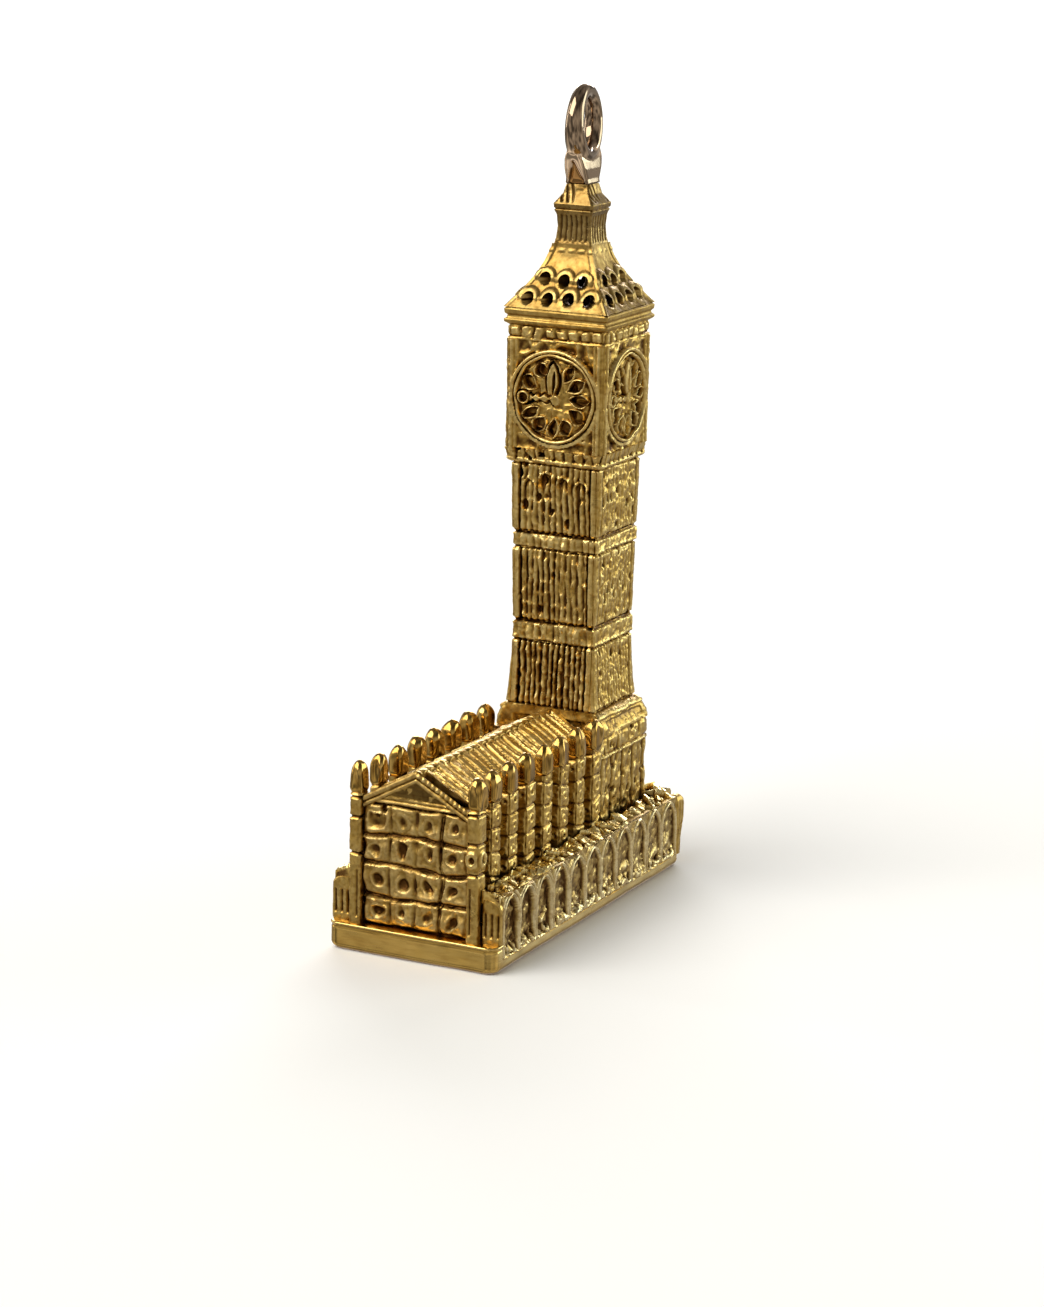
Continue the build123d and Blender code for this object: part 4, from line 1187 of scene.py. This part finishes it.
def tower_roof():
    """Concave slopes with soft hips, pierced by two rows of holes with raised lips."""
    low, high = ends("tower_roof")
    bottom, top = low[2], high[2]
    eave, crown, wall, hole_radius, lip = 2.62, 0.98, 0.75, 0.3, 0.06
    levels = span(bottom, top, 0.045)
    half = crown + (eave - crown) * (1 - (levels - bottom) / (top - bottom)) ** 1.55
    hole_rows = ((4, 1.04, 0.5), (3, 0.96, 1.3))
    holes = [
        (pitch * (place - (count - 1) / 2), bottom + rise)
        for count, pitch, rise in hole_rows
        for place in range(count)
    ]
    shells, cores, proud, opens = [], [], [], []
    for side, normal in enumerate(SIDE_NORMALS):
        tangent = np.array([-normal[1], normal[0]])
        across = np.linspace(-1, 1, 110, endpoint=False)[None, :] * half[:, None]
        height = np.broadcast_to(levels[:, None], across.shape).copy()
        is_open = np.zeros(across.shape, bool)
        lips = np.zeros(across.shape)
        for number, (hole_x, hole_z) in enumerate(holes):
            shift = 0.10 * (LATTICE[number, side, 5:7] - 0.6)
            x, z = hole_x + shift[0], hole_z + shift[1]
            away = np.hypot(across - x, height - z)
            at_rim = (away >= hole_radius) & (away < hole_radius + lip)
            scale = np.where(at_rim, hole_radius / np.maximum(away, 1e-6), 1)
            across, height = x + (across - x) * scale, z + (height - z) * scale
            is_open |= away < hole_radius
            upper = fill(z - 0.05 - height, 0.3)
            lips = lips + (0.02 + 0.12 * upper) * line(away - hole_radius - 0.07, 0.30)
        reach = np.interp(height, levels, half)
        level = reach[..., None] * normal + across[..., None] * tangent
        flat = np.concatenate([level, height[..., None]], axis=-1)
        flat[..., :2] += TOWER
        hip = 0.05 * fill(reach - 0.16 - np.abs(across), 0.12)
        scallops = 0.03 * line(height - top + 0.3, 0.16) * (0.5 + 0.5 * np.cos(2 * np.pi * across / 0.5))
        raised = lips + hip + scallops + 0.03 * noise(flat, 0.7, 161) + grainy(flat, 0.8)
        corner_pull = np.clip(10 * np.abs(across) / reach - 9, 0, 1) * np.sign(across)
        shell, core = flat.copy(), flat.copy()
        shell[..., :2] += raised[..., None] * (normal + 0.9 * corner_pull[..., None] * tangent)
        core[..., :2] -= wall * (normal + (across / reach)[..., None] * tangent)
        shells.append(shell)
        cores.append(core)
        proud.append(raised - 0.6 * lips)
        opens.append(is_open)
    shell, core, is_open, proud = (np.concatenate(parts, axis=1) for parts in (shells, cores, opens, proud))
    return pierced(shell, core, is_open, wear_of(proud, wrap=True))


solid("tower_roof", [tower_roof()], SHADED)


# ---------------------------------------------------------------- lantern and cap
def lantern_relief(side, across, height, points):
    """Fine upright grooves between a plain foot and a plain head."""
    low, high = ends("lantern")
    _, local = in_row(across + 0.9 + 0.03 * noise(points, 0.5, 170), 0.26)
    window = fill(box_gap(across, height - (low[2] + high[2]) / 2, 0.74, 0.6), 0.1)
    return -0.07 * line(np.abs(local) - 0.13, 0.12) * window + grainy(points, 1.0) - 0.02


def lantern():
    """The waisted box between the tower's roof and its cap."""
    low, high = ends("lantern")
    waist = ((low[2] + 0.25, 0.93), (low[2] + 0.8, 0.89), (high[2] - 0.15, 0.93))
    profile = ((low[2], 0.99), *waist, (high[2], 0.98))
    tower_tube("lantern", profile, lantern_relief, 0.5, corner=0.14, step=FINE_STEP, material=DEEP_SHADED)


lantern()


def lantern_cap():
    """A double moulding under a small pyramid with a few chisel cuts on its left."""
    low, high = ends("lantern_cap")
    levels = span(low[2], high[2], 0.03)
    rises = [0, 0.1, 0.15, 0.2, 0.4, 0.47, 0.85, high[2] - low[2]]
    half = np.interp(levels - low[2], rises, [0.98, 1.02, 0.96, 1.03, 1.05, 0.99, 0.72, 0.6])

    def chisel(side, across, height, points):
        cut = line(in_row(across + 0.3 * (height - low[2]), 0.3)[1], 0.14)
        sloped = fill(low[2] + 0.5 - height, 0.1) * fill(across + 0.05, 0.2)
        return -0.09 * cut * sloped + grainy(points, 1.2) - 0.01

    return column(TOWER, levels, half, half, chisel, corner=0.14, step=FINE_STEP)


solid("lantern_cap", [lantern_cap()], DEEP_SHADED)


# ---------------------------------------------------------------- bail
def weld(piece, voxel, smoothing):
    """Merges a piece's overlapping islands into one smooth closed skin, as solder does."""
    material = piece.data.materials[0]
    mesh = piece.data
    mesh.transform(Matrix.Scale(1 / MM, 4))
    remesh = piece.modifiers.new("weld", "REMESH")
    remesh.mode = "VOXEL"
    remesh.voxel_size = voxel
    smooth = piece.modifiers.new("polish", "SMOOTH")
    smooth.iterations = smoothing
    graph = bpy.context.evaluated_depsgraph_get()
    merged = bpy.data.meshes.new_from_object(piece.evaluated_get(graph))
    piece.modifiers.clear()
    merged.transform(Matrix.Scale(MM, 4))
    merged.shade_smooth()
    merged.materials.clear()
    merged.materials.append(material)
    piece.data = merged
    return merged


def bail():
    """The ring and its flared post, with a wedge-shaped notch where the ring's two ends meet the post."""
    low, high = ends("bail")
    outer, wire_radial, wire_axial, thinning, twist = 1.84, 0.39, 0.45, 0.09, math.radians(8)
    mean = outer - wire_radial
    centre = np.array([*TOWER, high[2] - 0.01 - outer])
    turn = np.linspace(0, 2 * math.pi, 120, endpoint=False)[:, None]
    around = np.linspace(0, 2 * math.pi, 40, endpoint=False)[None, :]
    reach = mean + wire_radial * np.cos(around)
    axial = (wire_axial - thinning * np.sin(turn)) * np.sin(around)
    y = reach * np.cos(turn)
    turned_x = axial * math.cos(twist) - y * math.sin(twist)
    turned_y = axial * math.sin(twist) + y * math.cos(twist)
    ring = np.stack([turned_x, turned_y, reach * np.sin(turn)], axis=-1) + centre
    notch_foot, notch_top, notch_half = low[2] + 0.05, low[2] + 1.15, 0.42

    def notch(side, across, height, points):
        share = np.clip((notch_top - height) / (notch_top - notch_foot), 0, 1)
        gap = np.abs(across) - notch_half * share
        return -0.16 * fill(gap, 0.08) * (share > 0) if side in (FRONT, BACK) else 0

    levels = span(low[2] + 0.005, centre[2] - mean + wire_radial - 0.05, 0.04)
    share = (levels - levels[0]) / (levels[-1] - levels[0])
    stations = [0, 0.12, 0.45, 0.7, 0.88, 1]
    half_x = np.interp(share, stations, [0.62, 0.57, 0.55, 0.48, 0.36, 0.20])
    half_y = np.interp(share, stations, [0.72, 0.74, 1.00, 1.16, 1.24, 1.26])
    post = column(TOWER, levels, half_x, half_y, notch, corner=0.16)
    mesh = weld(solid("bail", [skin(ring, 0.5, wrap=True), post], PALE), voxel=0.03, smoothing=45)
    places = np.array([vertex.co for vertex in mesh.vertices]) / MM
    share = np.clip((notch_top - places[:, 2]) / (notch_top - notch_foot), 0, 1)
    in_notch = fill(np.abs(places[:, 0]) - notch_half * share, 0.1) * (share > 0)
    # Painted highlight: the lower middle of the post's faces is coloured pale for the reflection on its flat
    # facet; the notch takes the pit colour.
    painted_facet_highlight = fill(places[:, 2] - low[2] - 1.7, 0.3) * fill(np.abs(places[:, 0]) - 0.45, 0.1)
    store_wear_and_painted_light(mesh, 0.46 + 0.36 * painted_facet_highlight - 0.7 * in_notch)


bail()


# ---------------------------------------------------------------- stage, lights and camera
def stage():
    """A plain pale floor that the metal doesn't mirror."""
    bpy.ops.mesh.primitive_plane_add(size=6)
    floor = bpy.context.object
    floor.name = "floor"
    paper = bpy.data.materials.new("paper")
    paper.use_nodes = True
    shader = paper.node_tree.nodes["Principled BSDF"]
    shader.inputs["Base Color"].default_value = (0.93, 0.93, 0.93, 1)
    shader.inputs["Roughness"].default_value = 0.9
    floor.data.materials.append(paper)
    floor.visible_glossy = False


def put(name, data, place, right, up, back):
    """A lamp or camera in the scene at a place, given its own three axes."""
    made = bpy.data.objects.new(name, data)
    bpy.context.scene.collection.objects.link(made)
    frame_of = np.eye(4)
    frame_of[:3] = np.column_stack([right, up, back, place])
    made.matrix_world = Matrix(frame_of.tolist())
    return made


def soft_light(name, place, size, power, colour=(1, 1, 1), target=(0, 0, 0.016)):
    """A rectangular lamp that faces a target, in metres."""
    data = bpy.data.lights.new(name, "AREA")
    data.shape = "RECTANGLE"
    data.size, data.size_y = size
    data.energy = power
    data.color = colour
    back = np.array(place) - np.array(target)
    back = back / np.linalg.norm(back)
    right = np.cross(UP, back)
    right = right / np.linalg.norm(right)
    put(name, data, place, right, np.cross(back, right), back)


def lights():
    """A wide soft key from the upper left, and soft lights behind for the ledges and the right faces."""
    soft_light("key", (-0.55, -0.75, 0.95), (1.1, 1.1), 17.0, (1.0, 0.97, 0.90))
    soft_light("back", (-0.42, 1.05, 0.40), (0.9, 0.5), 10.0)
    soft_light("right", (0.75, 0.80, 0.22), (0.7, 0.5), 4.0, (0.88, 1.0, 0.93))
    soft_light("strip", (-0.95, -0.10, 0.25), (0.07, 0.7), 1.0)


def room():
    """What the gold reflects: brightest at the horizon, dim above, dark below, in soft uneven patches."""
    world = bpy.data.worlds.new("room")
    bpy.context.scene.world = world
    world.use_nodes = True
    nodes, links = world.node_tree.nodes, world.node_tree.links
    direction = nodes.new("ShaderNodeTexCoord")
    split = nodes.new("ShaderNodeSeparateXYZ")
    height = nodes.new("ShaderNodeMapRange")
    height.inputs["From Min"].default_value = -1.0
    sky = nodes.new("ShaderNodeValToRGB")
    stops = sky.color_ramp.elements
    levels = ((0.0, 0.48), (0.28, 0.60), (0.39, 0.40), (0.5, 0.56), (0.62, 0.46), (0.80, 0.24), (1.0, 0.18))
    while len(stops) < len(levels):
        stops.new(0.5)
    for stop, (position, level) in zip(stops, levels):
        stop.position = position
        stop.color = (level, 0.95 * level, 0.87 * level, 1)
    patches = nodes.new("ShaderNodeTexNoise")
    patches.inputs["Scale"].default_value = 2.2
    patches.inputs["Detail"].default_value = 1.0
    contrast = nodes.new("ShaderNodeMapRange")
    contrast.inputs["From Min"].default_value = 0.36
    contrast.inputs["From Max"].default_value = 0.64
    contrast.inputs["To Min"].default_value = 0.35
    contrast.inputs["To Max"].default_value = 1.75
    links.new(direction.outputs["Generated"], split.inputs["Vector"])
    links.new(direction.outputs["Generated"], patches.inputs["Vector"])
    links.new(split.outputs["Z"], height.inputs["Value"])
    links.new(height.outputs["Result"], sky.inputs["Fac"])
    links.new(sky.outputs["Color"], nodes["Background"].inputs["Color"])
    links.new(patches.outputs["Fac"], contrast.inputs["Value"])
    links.new(contrast.outputs["Result"], nodes["Background"].inputs["Strength"])


def camera():
    """A long lens from a little above, at the hall's front right corner."""
    azimuth, elevation, roll = math.radians(26.38), math.radians(13.76), math.radians(1.17)
    distance, sideways, forward, level = 0.17105, 0.00034, -0.0001, 0.012155
    target = np.array([sideways * math.cos(azimuth), forward + sideways * math.sin(azimuth), level])
    back = np.array(
        [
            math.sin(azimuth) * math.cos(elevation),
            -math.cos(azimuth) * math.cos(elevation),
            math.sin(elevation),
        ]
    )
    right = np.array([math.cos(azimuth), math.sin(azimuth), 0.0])
    up = np.cross(back, right)
    data = bpy.data.cameras.new("camera")
    data.sensor_width = 36.0
    data.lens = 101.7
    data.clip_start, data.clip_end = 0.01, 10.0
    rolled_right = math.cos(roll) * right + math.sin(roll) * up
    rolled_up = math.cos(roll) * up - math.sin(roll) * right
    place = target + back * distance
    bpy.context.scene.camera = put("camera", data, place, rolled_right, rolled_up, back)


stage()
lights()
room()
camera()
bpy.context.scene.view_settings.view_transform = "Standard"

bpy.context.view_layer.update()
